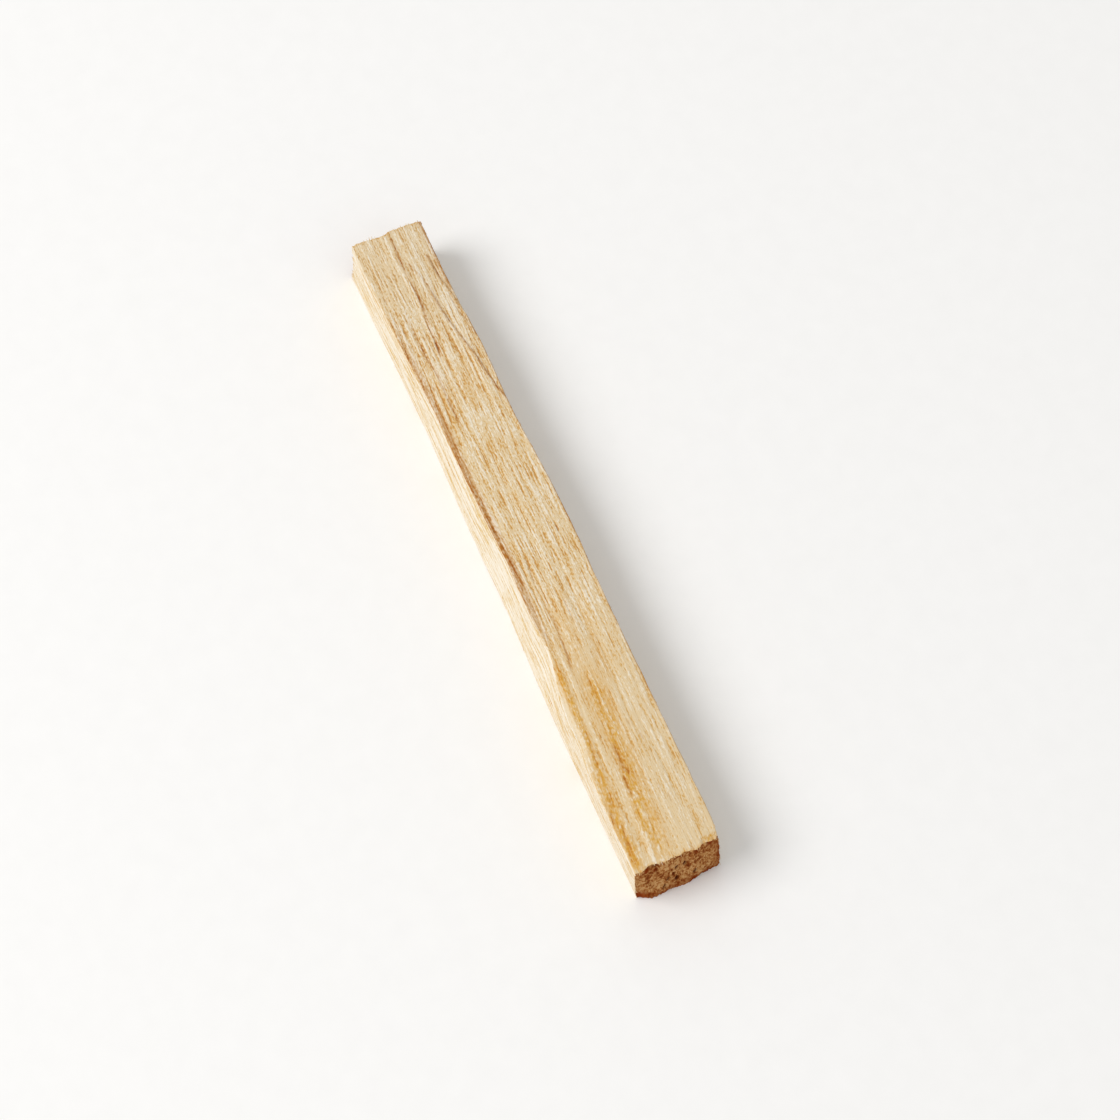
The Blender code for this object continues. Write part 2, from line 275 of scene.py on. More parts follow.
def swell(along: Array, across: Array, seed: int) -> Array:
    """A smooth random field with one new value in each unit square.

    Args:
        along: Where along the field.
        across: Where across it.
        seed: Picks the field.

    Returns:
        Values between -1 and 1.
    """
    table = np.random.default_rng(seed).uniform(-1.0, 1.0, (FIELD_SIZE, FIELD_SIZE))
    column, row = np.floor(along).astype(int), np.floor(across).astype(int)
    t, s = ease(along - column), ease(across - row)
    column, row, next_column, next_row = (n % FIELD_SIZE for n in (column, row, column + 1, row + 1))
    near = table[column, row] * (1 - s) + table[column, next_row] * s
    far = table[next_column, row] * (1 - s) + table[next_column, next_row] * s
    return near * (1 - t) + far * t


@dataclass(frozen=True)
class Curve:
    """A smooth curve through a few (place, value) points, level beyond the first and the last."""

    points: Points

    def at(self, place: Array) -> Array:
        """Reads the curve.

        Args:
            place: Where to read it.

        Returns:
            Its value at each place.
        """
        places, values = np.array(self.points, float).T
        slopes = np.gradient(values, places)
        place = np.clip(place, places[0], places[-1])
        i = np.clip(np.searchsorted(places, place) - 1, 0, len(places) - 2)
        span = places[i + 1] - places[i]
        t = (place - places[i]) / span
        start = (1 + 2 * t) * (1 - t) ** 2 * values[i] + t * (1 - t) ** 2 * span * slopes[i]
        end = t * t * (3 - 2 * t) * values[i + 1] - t * t * (1 - t) * span * slopes[i + 1]
        return start + end


class Face(Enum):
    """The stick's faces that carry marks."""

    BROAD = "broad face, on top"
    PALE_SIDE = "pale split side, at -Y"


@dataclass(frozen=True)
class Mark:
    """A dash, pit or streak along the grain, with the resin or dirt that colours it."""

    line: Points  # (x, distance across) in mm, the distance being y on the broad face and z on a side
    half_width: float
    depth: float = 0.0
    brown: float = 0.0
    honey: float = 0.0
    taper: float = 1.0  # length of its fading ends in mm
    face: Face = Face.BROAD

    def weight(self, x: Array, across: Array) -> Array:
        """How strongly the mark lies on each point.

        Args:
            x: The points' places along the stick in mm.
            across: Their distances across the face in mm.

        Returns:
            1 on the mark's line, falling to 0 at its edge and its ends.
        """
        start, end = self.line[0][0] - self.taper, self.line[-1][0] + self.taper
        fading = ease((x - start) / self.taper) * ease((end - x) / self.taper)
        return fading * ease(1 - np.abs(across - Curve(self.line).at(x)) / self.half_width)


@dataclass(frozen=True)
class StickForm:
    """The stick's broad form, the same as the solid's: straight tapers, wandering edges, cracks and pits."""

    # The straight tapers, with lengths in mm here and below
    far_end: float = -50.7
    near_end: float = 49.8
    width_far: float = 10.2
    width_near: float = 11.4
    thickness_far: float = 7.55
    thickness_near: float = 8.2
    # How far each long edge wanders, over places
    right_edge: Curve = Curve((
        (0, 0), (0.13, 0), (0.18, 0.2), (0.24, 0.24), (0.31, 0.07), (0.37, 0.16), (0.43, 0.4), (0.53, 0.48),
        (0.6, 0.25), (0.67, 0.14), (0.77, 0.08), (0.85, 0.04), (0.94, -0.02), (0.975, -0.08), (1, -0.34),
    ))
    left_edge: Curve = Curve((
        (0, -0.02), (0.04, -0.02), (0.1, 0.12), (0.17, 0.35), (0.24, 0.65), (0.32, 0.84), (0.4, 0.84),
        (0.48, 1.05), (0.53, 1.24), (0.58, 1.15), (0.63, 1.13), (0.68, 1.35), (0.715, 0.85), (0.76, 0.06),
        (0.82, -0.08), (0.865, -0.41), (0.9, -0.5), (0.95, -0.5), (1, -0.44),
    ))
    left_foot: Curve = Curve((
        (0, -0.49), (0.1, -0.28), (0.2, 0), (0.27, 0.09), (0.34, 0.01), (0.42, -0.12), (0.48, -0.1),
        (0.55, 0.01), (0.62, -0.13), (0.69, -0.28), (0.76, -0.33), (0.84, -0.26), (0.92, -0.16), (1, -0.07),
    ))
    right_foot: Curve = Curve((
        (0, 0.05), (0.2, 0.3), (0.38, 0.15), (0.55, 0.42), (0.75, 0.3), (0.88, 0.12), (1, 0.06),
    ))
    # How far the ends stand out or in, across them
    near_rim: Curve = Curve((
        (-5.9, 0.12), (-4.9, 0.08), (-4.3, -0.14), (-2.9, -0.05), (-2.3, 0.1), (-1.1, 0), (1.4, -0.06),
        (2, 0.1), (3.1, -0.3), (4.7, -0.45), (5.5, -0.62),
    ))
    near_foot: Curve = Curve((
        (-5.7, 0.1), (-5.1, 0.45), (-4.5, 0.75), (-3.7, 0.92), (-1.1, 0.74), (1.8, 0.6), (3.7, 0.2),
        (5.7, -0.1),
    ))
    far_rim: Curve = Curve((
        (-5.1, 0.2), (-2.5, 0.15), (-1.4, 0.3), (0.3, 0), (2.1, -0.1), (3.8, -0.2), (5.1, 0),
    ))
    far_hollow: float = 0.8
    hollow_spread: float = 8.0
    hollow_least: float = 0.15
    end_blend: float = 3.0
    # Ledges and cracks of the broad face, their lines and depths over places
    ledge_long: Curve = Curve((
        (0.06, 1.1), (0.09, 1.9), (0.136, 2.4), (0.161, 2.7), (0.198, 3.3), (0.226, 3.9), (0.262, 4.4),
        (0.285, 4.8), (0.31, 5.4),
    ))
    ledge_long_step: Curve = Curve(((0.05, 0), (0.1, 0.06), (0.17, 0.11), (0.26, 0.1), (0.31, 0.07)))
    ledge_short: Curve = Curve(((0.055, 3.9), (0.092, 4.1), (0.121, 4.66), (0.147, 5.05), (0.175, 5.5)))
    ledge_short_step: Curve = Curve(((0.04, 0), (0.08, 0.08), (0.15, 0.09), (0.175, 0.06)))
    ledge_ramp: float = 0.11
    crack_middle: Curve = Curve((
        (0.01, 0.14), (0.05, 0.08), (0.133, 0.17), (0.165, -0.1), (0.194, -0.3), (0.241, -0.83),
        (0.32, -1.02),
    ))
    crack_middle_depth: Curve = Curve((
        (0.015, 0), (0.05, 0.08), (0.13, 0.08), (0.195, 0.18), (0.215, 0.08), (0.26, 0.06), (0.32, 0),
    ))
    crack_left: Curve = Curve(((0.12, -2.3), (0.21, -2.3), (0.242, -1.95), (0.271, -2.02), (0.34, -2.04)))
    crack_left_depth: Curve = Curve(((0.13, 0), (0.2, 0.05), (0.25, 0.09), (0.3, 0.04), (0.34, 0)))
    crack_near: Curve = Curve(((0.52, -1.8), (0.57, -2.02), (0.67, -1.97), (0.7, -2.3), (0.725, -2.7)))
    crack_near_depth: Curve = Curve(((0.53, 0), (0.56, 0.06), (0.62, 0.03), (0.69, 0.06), (0.725, 0)))
    crack_half_width: float = 0.16
    crack_wander: float = 0.1
    wander_length: float = 2.4
    crack_jag: float = 0.06
    jag_length: float = 0.6
    gaping: float = 0.75
    gaping_change: float = 0.4
    gaping_length: float = 1.1
    # The dropped corner, the torn splinter and the underside's channels
    corner_start: float = 48.7
    corner_across: float = 2.9
    corner_slopes: Pair = (1.1, 0.5)
    corner_drop: float = 0.2
    splinter: Curve = Curve(((0.28, 5.2), (0.4, 4.6), (0.58, 4.9), (0.74, 4.2), (0.86, 3.6)))
    splinter_step: Curve = Curve(((0.26, 0), (0.36, 0.3), (0.6, 0.38), (0.8, 0.25), (0.88, 0)))
    splinter_ramp: float = 0.5
    splinter_fade: float = 1 / 9
    channel_left: Curve = Curve(((0.0, -3.4), (0.3, -3), (0.62, -3.3)))
    channel_left_depth: Curve = Curve(((0, 0.3), (0.35, 0.22), (0.6, 0)))
    channel_right: Curve = Curve(((0.42, 3), (0.7, 2.6), (1, 2.9)))
    channel_right_depth: Curve = Curve(((0.45, 0), (0.7, 0.25), (1, 0.35)))
    channel_half_width: float = 0.8
    # How the grain drifts across the stick
    grain_drift: Curve = Curve((
        (0, 0.2), (0.2, -0.2), (0.3, -0.7), (0.45, -0.7), (0.6, -0.1), (0.72, -0.3), (0.85, -1.3), (1, -2.5),
    ))
    fan_start: float = 1.0
    fan_width: float = 8.5
    fan_least: float = 0.15
    # Swells and ribs of split wood
    swell_length: float = 13.0
    swell_width: float = 1.9
    swell_height: float = 0.05
    rib_length: float = 12.0
    rib_width: float = 0.8
    rib_height: float = 0.03
    rib_far_gain: float = 0.8
    rib_far_reach: float = 0.3
    relief_fade: float = 2.0
    crown: float = 0.12
    side_bulge: float = 0.12
    left_smoothness: float = 0.7
    # Unevenness and pits of the ends
    rough_grain: float = 0.9
    rough_height: float = 0.08
    near_pits: Points = (
        (-0.4, 2.3), (-0.4, 5.25), (0.7, 5.25), (-0.9, 3.8), (-1.6, 3.1), (2.1, 2.3), (-2.2, 1.65),
        (-3.2, 6.6),
    )
    far_pits: Points = ((-3.4, 4.6), (-1.0, 2.2), (0.9, 5.7), (2.6, 3.1), (3.9, 6.0), (-2.2, 6.6))
    pit_floor: float = 0.08
    pit_slope: float = 0.28
    pit_rise: float = 0.6
    pit_depth: float = 0.3
    # Worn, chipped and bevelled long edges
    arris_radius: float = 0.09
    arris_change: float = 0.03
    arris_length: float = 2.3
    arris_chip: float = 0.05
    chip_length: float = 1.7
    fine_chip_length: float = 0.6
    fine_chip_share: float = 0.6
    bevel: Curve = Curve(((0.69, 0), (0.74, 0.16), (0.82, 0.18), (0.86, 0)))
    bevel_width: float = 0.75

    def place_of(self, x: Array) -> Array:
        """The fraction of the length at x."""
        return (x - self.far_end) / (self.near_end - self.far_end)

    def distance_of(self, place: Array) -> Array:
        """The distance in mm from the far end at a place."""
        return place * (self.near_end - self.far_end)

    def half_width(self, place: Array) -> Array:
        """Half the width of the straight taper."""
        return (self.width_far + (self.width_near - self.width_far) * place) / 2

    def thickness(self, place: Array) -> Array:
        """The straight taper of the thickness."""
        return self.thickness_far + (self.thickness_near - self.thickness_far) * place

    def along(self, place: Array, length: float, seed: int) -> Array:
        """A random field from -1 to 1 that changes along the stick only, about once in a length in mm."""
        return swell(self.distance_of(place) / length, np.full_like(place, 0.5), seed)

    def split_surface(self, place: Array, across: Array, seed: int) -> Array:
        """The broad relief of wood split along its grain.

        Args:
            place: Where along the stick.
            across: Where across the face in mm.
            seed: Picks the face's own relief.

        Returns:
            Heights in mm of swells, and of ribs that stand higher towards the far end.
        """
        distance = self.distance_of(place)
        broad = self.swell_height * swell(distance / self.swell_length, across / self.swell_width, seed)
        gain = 1 + self.rib_far_gain * ease(1 - place / self.rib_far_reach)
        ribs = swell(distance / self.rib_length, across / self.rib_width, seed + 10)
        return broad + gain * self.rib_height * ribs

    def drift(self, place: Array, y: Array) -> Array:
        """How far the grain has drifted across the stick, most on its left and hardly on its right.

        Args:
            place: Where along the stick.
            y: Distance across in mm.

        Returns:
            Distances across in mm.
        """
        share = self.fan_least + (1 - self.fan_least) * ease((self.fan_start - y) / self.fan_width)
        return self.grain_drift.at(place) * share

    def chips(self, place: Array, up: Array, seed: int) -> Array:
        """How far a long top edge is chipped in from its line.

        Args:
            place: Where along the stick.
            up: 0 at the foot of the side and 1 at its top edge.
            seed: Picks the edge.

        Returns:
            Small lengths in mm, fading within a millimetre below the edge.
        """
        fine = self.fine_chip_share * self.along(place, self.fine_chip_length, seed + 1)
        chip = self.along(place, self.chip_length, seed) + fine
        return self.arris_chip * chip * ease(1 - (1 - up) * self.thickness(place))

    def left_side(self, place: Array, up: Array) -> Array:
        """Y of the pale split side.

        Args:
            place: Where along the stick.
            up: 0 at its foot and 1 at its top edge.

        Returns:
            Y in mm.
        """
        lean = self.left_foot.at(place) * (1 - up) + self.left_edge.at(place) * up
        relief = self.split_surface(place, up * self.thickness(place), SEED + 1)
        relief *= self.left_smoothness * ease(self.relief_fade * hump(up))
        flat = lean - self.half_width(place) - self.side_bulge * hump(up) + relief
        return flat + self.chips(place, up, SEED + 20)

    def right_side(self, place: Array, up: Array) -> Array:
        """Y of the right side, with the splinter torn off its upper part.

        Args:
            place: Where along the stick.
            up: 0 at its foot and 1 at its top edge.

        Returns:
            Y in mm.
        """
        lean = self.right_foot.at(place) * (1 - up) + self.right_edge.at(place) * up
        height = up * self.thickness(place)
        torn = self.splinter_step.at(place) * ease((height - self.splinter.at(place)) / self.splinter_ramp)
        torn *= ease((1 - up) / self.splinter_fade)
        relief = self.split_surface(place, height, SEED + 2) * ease(self.relief_fade * hump(up))
        flat = lean + self.half_width(place) + self.side_bulge / 2 * hump(up) - torn + relief
        return flat - self.chips(place, up, SEED + 22)

    def edges(self, place: Array, up: float | Array) -> tuple[Array, Array]:
        """Y of the left and of the right side at a share of their height."""
        level = np.full_like(place, up)
        return self.left_side(place, level), self.right_side(place, level)

    def torn_line(self, line: Curve, place: Array) -> Array:
        """Line of a crack or ledge, which wavers from fibre to fibre.

        Args:
            line: The line that it wavers about.
            place: Where along the stick.

        Returns:
            Distances across in mm.
        """
        wander = self.crack_wander * self.along(place, self.wander_length, SEED + 6)
        return line.at(place) + wander + self.crack_jag * self.along(place, self.jag_length, SEED + 7)

    def crack(self, place: Array, y: Array, line: Curve, depth: Curve, half: float) -> Array:
        """Depth of a crack that follows a line along the grain.

        Args:
            place: Where along the stick.
            y: Distance across in mm.
            line: The crack's line.
            depth: Its depth in mm at each place.
            half: Half its width in mm.

        Returns:
            Depths in mm.
        """
        gaping = self.gaping + self.gaping_change * self.along(place, self.gaping_length, SEED + 9)
        return depth.at(place) * gaping * np.clip(1 - np.abs(y - self.torn_line(line, place)) / half, 0, 1)

    def ledge(self, place: Array, y: Array, line: Curve, step: Curve) -> Array:
        """Drop of the surface to the right of a ledge.

        Args:
            place: Where along the stick.
            y: Distance across in mm.
            line: The ledge's line.
            step: Its height in mm at each place.

        Returns:
            Drops in mm.
        """
        inside = (place >= line.points[0][0]) & (place <= line.points[-1][0])
        return inside * step.at(place) * ease((y - self.torn_line(line, place)) / self.ledge_ramp)

    def worn_edge(self, place: Array, from_edge: Array) -> Array:
        """Drop of a face within its rounded long edge.

        Args:
            place: Where along the stick.
            from_edge: Distance in from the edge in mm.

        Returns:
            Drops in mm, a quarter circle whose radius changes along the stick.
        """
        radius = self.arris_radius + self.arris_change * self.along(place, self.arris_length, SEED + 8)
        inward = np.clip(radius - from_edge, 0, radius)
        return radius - np.sqrt(radius ** 2 - inward ** 2)

    def top_face(self, x: Array, y: Array) -> Array:
        """Shape of the broad face.

        Args:
            x: Where along the stick in mm.
            y: Distance across in mm.

        Returns:
            Its height in mm.
        """
        place = self.place_of(x)
        left, right = self.edges(place, 1.0)
        height = self.thickness(place) + self.crown * hump(np.clip((y - left) / (right - left), 0, 1))
        height += self.split_surface(place, y - self.drift(place, y), SEED)
        for line, step in (
            (self.ledge_long, self.ledge_long_step), (self.ledge_short, self.ledge_short_step),
        ):
            height -= self.ledge(place, y, line, step)
        for line, depth in (
            (self.crack_middle, self.crack_middle_depth),
            (self.crack_left, self.crack_left_depth),
            (self.crack_near, self.crack_near_depth),
        ):
            height -= self.crack(place, y, line, depth, self.crack_half_width)
        along, across = self.corner_slopes
        dropped = ease((x - self.corner_start) / along) * ease((y - self.corner_across) / across)
        height -= self.corner_drop * dropped + self.bevelled(place, y - left)
        return height - self.worn_edge(place, np.minimum(y - left, right - y))

    def bevelled(self, place: Array, from_left: Array) -> Array:
        """Drop in mm of the broad face where its left edge is split off at a slant."""
        return self.bevel.at(place) * ease(1 - from_left / self.bevel_width)

    def underside(self, x: Array, y: Array) -> Array:
        """Shape of the underside, flat but for two channels and its worn edges.

        Args:
            x: Where along the stick in mm.
            y: Distance across in mm.

        Returns:
            Its height in mm.
        """
        place = self.place_of(x)
        left, right = self.edges(place, 0.0)
        height = self.worn_edge(place, np.minimum(y - left, right - y))
        for line, depth in (
            (self.channel_left, self.channel_left_depth), (self.channel_right, self.channel_right_depth),
        ):
            height += self.crack(place, y, line, depth, self.channel_half_width)
        return height

    def pits(self, y: Array, z: Array, centres: Points) -> Array:
        """Depth of the pits in a sawn end, each taller than it is wide.

        Args:
            y: Distance across in mm.
            z: Height in mm.
            centres: The pits' (distance across, height).

        Returns:
            Depths in mm.
        """
        depth = np.zeros_like(y)
        for centre_y, centre_z in centres:
            distance = np.hypot(y - centre_y, self.pit_rise * (z - centre_z))
            wall = ease(1 - (distance - self.pit_floor) / self.pit_slope)
            depth = np.maximum(depth, self.pit_depth * wall)
        return depth

    def rough(self, y: Array, z: Array, seed: int) -> Array:
        """The coarse unevenness of a sawn end, in mm."""
        return self.rough_height * swell(y / self.rough_grain, z / self.rough_grain, seed)

    def near_face(self, y: Array, up: Array) -> Array:
        """Shape of the brown end.

        Args:
            y: Distance across in mm.
            up: 0 at its foot and 1 at its top rim.

        Returns:
            How far it stands out past its nominal plane, in mm.
        """
        z = up * self.thickness_near
        lean = self.near_foot.at(y) * (1 - up) + self.near_rim.at(y) * up
        return lean + self.rough(y, z, SEED + 3) - self.pits(y, z, self.near_pits)

    def far_face(self, y: Array, up: Array) -> Array:
        """Shape of the far end.

        Args:
            y: Distance across in mm.
            up: 0 at its foot and 1 at its top rim.

        Returns:
            How far it stands in from its nominal plane, in mm.
        """
        z = up * self.thickness_far
        hollow = self.far_hollow * hump(up) * np.clip(0.5 - y / self.hollow_spread, self.hollow_least, 1)
        return self.far_rim.at(y) + hollow + self.rough(y, z, SEED + 4) + self.pits(y, z, self.far_pits)


# How rough and streaky the split faces are at each place
ROUGHNESS = Curve((
    (0, 0.72), (0.1, 0.77), (0.18, 1.05), (0.28, 0.9), (0.47, 0.85), (0.53, 0.88), (0.64, 0.78), (0.72, 0.57),
    (0.9, 0.56), (1, 0.48),
))
SIDE_ROUGHNESS = Curve(((0, 0.65), (0.18, 0.8), (0.3, 0.8), (0.5, 0.75), (0.65, 0.7), (0.8, 0.8), (1, 0.8)))

# How brown the long top edges are along X: a band inside the left one; on the right a band that is partly
# painted shade and a line of painted shade, where the rounded edge turns from the light
LEFT_ARRIS = Curve((
    (-39, 0), (-34, 0.35), (-27, 0.6), (-20, 0.7), (-12, 0.8), (-5, 0.9), (4, 0.9), (11, 0.6), (15, 0.3),
    (18, 0),
))
RIGHT_BAND_AND_SHADE = Curve(((-50, 0.75), (-44, 0.9), (-40, 0.85), (-38, 0.35), (-32, 0.2), (-28, 0)))
RIGHT_SHADE_LINE = Curve(((-36, 0.2), (-30, 0.6), (-10, 0.8), (10, 0.7), (30, 0.6), (44, 0.2)))

# Cracks and ledges of the form, how brown each is along the stick and half the width of its stain in mm; the
# brown is partly their own and partly painted shade in them
TORN_STAINS_AND_SHADE = (
    ("crack_middle", Curve((
        (0.01, 0.6), (0.05, 0.9), (0.08, 0.5), (0.11, 1.0), (0.17, 0.9), (0.195, 1.6), (0.21, 0.5), (0.3, 0),
    )), 0.3),
    ("crack_left", Curve(((0.12, 0), (0.17, 0.6), (0.25, 1.1), (0.35, 0))), 0.28),
    ("crack_near", Curve(((0.55, 0), (0.62, 0.3), (0.66, 0.6), (0.7, 0.8), (0.72, 0))), 0.24),
    ("ledge_long", Curve(((0.06, 0.5), (0.12, 0.8), (0.2, 1.1), (0.3, 1.0))), 0.3),
    ("ledge_short", Curve(((0.055, 1.1), (0.09, 0.8), (0.12, 0.4), (0.17, 0.3))), 0.3),
)

# Dashes, pits and resin streaks where the real stick has them
MARKS = (
    # pits and short strokes of the broad face's far half
    Mark(((-25.1, -3.19), (-24.7, -3.19)), 0.28, 0.16, 0.5, taper=0.3),
    Mark(((-32.0, -3.44), (-31.6, -3.44)), 0.24, 0.12, 0.45, taper=0.3),
    Mark(((-40.6, -4.04), (-40.2, -4.04)), 0.24, 0.12, 0.4, taper=0.3),
    Mark(((-31.2, -0.32), (-30.8, -0.36)), 0.28, 0.16, 1.0, taper=0.4),
    Mark(((-34.6, 2.68), (-34.0, 2.76)), 0.26, 0.06, 0.8, taper=0.3),
    Mark(((-37.2, 2.3), (-36.0, 2.45)), 0.24, 0.04, 0.6, taper=0.6),
    Mark(((-46.8, 0.1), (-44.8, 0.15)), 0.3, 0.02, 0.7, taper=0.8),
    Mark(((-37.8, 4.37), (-35.2, 4.52), (-33.3, 5.11), (-32.4, 5.53)), 0.16, 0.08, 0.5),
    Mark(((-44.0, 4.1), (-43.0, 4.12), (-41.8, 4.2)), 0.2, 0.06, 0.8, taper=0.8),
    # faint warmth ahead of the middle
    Mark(((-31.0, 0.0), (-23.0, 0.0)), 9.0, honey=0.2, taper=5.0),
    # brown line inside the left arris, and the paler facet that follows it, whose paleness is painted light
    Mark(((-14.4, -4.1), (-13.4, -4.1)), 0.24, 0.05, 0.9, taper=0.5),
    Mark(((-12.9, -4.0), (-11.9, -4.0)), 0.22, 0.05, 0.95, taper=0.5),
    Mark(((-10.1, -3.95), (-6.7, -3.9)), 0.2, 0.04, 0.9, taper=0.8),
    Mark(((-5.5, -3.8), (1.5, -3.6)), 0.26, 0.05, 0.4, taper=2.0),
    Mark(((1.5, -3.6), (6.7, -3.31), (11.0, -3.56), (13.9, -3.65), (15.3, -3.52)), 0.24, 0.06, 0.6),
    # middle of the broad face
    Mark(((11.8, 0.54), (13.9, 0.53)), 0.18, 0.08, 0.45),
    Mark(((1.0, 3.85), (1.4, 3.85)), 0.22, 0.12, 0.6, taper=0.25),
    Mark(((4.4, -1.74), (7.0, -1.91)), 0.18, 0.08, 0.45),
    # honey streak of the near third: haze, then its cores
    Mark(((12.0, -0.6), (16.0, -1.2), (20.0, -1.6)), 3.0, honey=0.3, taper=6.0),
    Mark(((14.0, 2.2), (18.0, 1.9), (22.0, 1.6)), 1.0, honey=0.4, taper=4.0),
    Mark(((25.0, -0.8), (33.5, -1.1), (41.0, -1.5), (46.0, -2.0)), 2.5, honey=0.85, taper=6.0),
    Mark(((31.0, -1.2), (36.0, -1.6), (41.0, -2.2), (44.0, -2.5)), 1.3, honey=1.0, taper=4.0),
    Mark(((33.2, -1.75), (36.4, -1.8)), 0.34, 0.02, 0.65, 1.0, taper=0.8),
    Mark(((36.6, -1.45), (37.0, -1.45)), 0.28, 0.02, 0.5, 1.0, taper=0.3),
    Mark(((37.6, -2.25), (40.0, -2.3)), 0.38, 0.02, 0.65, 1.0, taper=0.6),
    # second streak, which runs out over the left arris
    Mark(
        ((22.0, -4.15), (28.0, -4.35), (31.5, -4.5), (35.0, -4.75), (39.0, -5.0)), 0.85, honey=1.0, taper=5.0,
    ),
    Mark(((37.0, -5.2), (41.0, -5.3), (46.0, -5.4), (48.0, -5.4)), 1.5, honey=0.95, taper=4.0),
    Mark(((31.5, -4.35), (34.5, -4.6)), 0.26, 0.02, 0.3, 0.8),
    Mark(((39.6, -5.1), (42.4, -5.8)), 0.35, 0.02, 0.3, 0.9),
    Mark(((43.4, -5.0), (45.5, -5.4)), 0.35, 0.02, 0.3, 0.9),
    Mark(((45.8, -5.2), (46.3, -5.2)), 0.2, 0.06, 0.6, taper=0.3),
    # ochre bevel torn along the brown end's top rim
    Mark(((49.1, 4.4), (49.8, 4.4)), 1.5, honey=1.0, taper=0.3),
    # short grey-brown dashes of the near third
    Mark(((32.5, 2.07), (33.3, 2.09)), 0.15, 0.06, 0.5, taper=0.5),
    Mark(((41.7, 1.98), (42.5, 1.96)), 0.14, 0.05, 0.45, taper=0.5),
    Mark(((49.1, 1.85), (49.8, 1.83)), 0.14, 0.05, 0.4, taper=0.5),
    Mark(((30.5, 1.34), (31.1, 1.32)), 0.14, 0.05, 0.4, taper=0.5),
    Mark(((40.1, 1.27), (40.7, 1.25)), 0.14, 0.05, 0.4, taper=0.5),
    # faint ochre dashes low on the pale side, and its warmer near end
    Mark(((30.0, 4.0), (50.0, 4.0)), 6.0, honey=0.12, taper=12.0, face=Face.PALE_SIDE),
    Mark(((14.3, 2.6), (15.1, 2.6)), 0.3, 0.05, 0.3, 0.6, 0.4, Face.PALE_SIDE),
    Mark(((21.2, 2.2), (22.0, 2.2)), 0.26, 0.05, 0.3, 0.6, 0.4, Face.PALE_SIDE),
    Mark(((-16.0, 4.3), (-12.0, 4.2)), 0.3, 0.0, 0.0, 0.5, 2.0, Face.PALE_SIDE),
    Mark(((-46.0, 6.6), (-38.0, 6.8), (-30.0, 6.9)), 0.5, 0.0, 0.0, 0.35, 4.0, Face.PALE_SIDE),
)


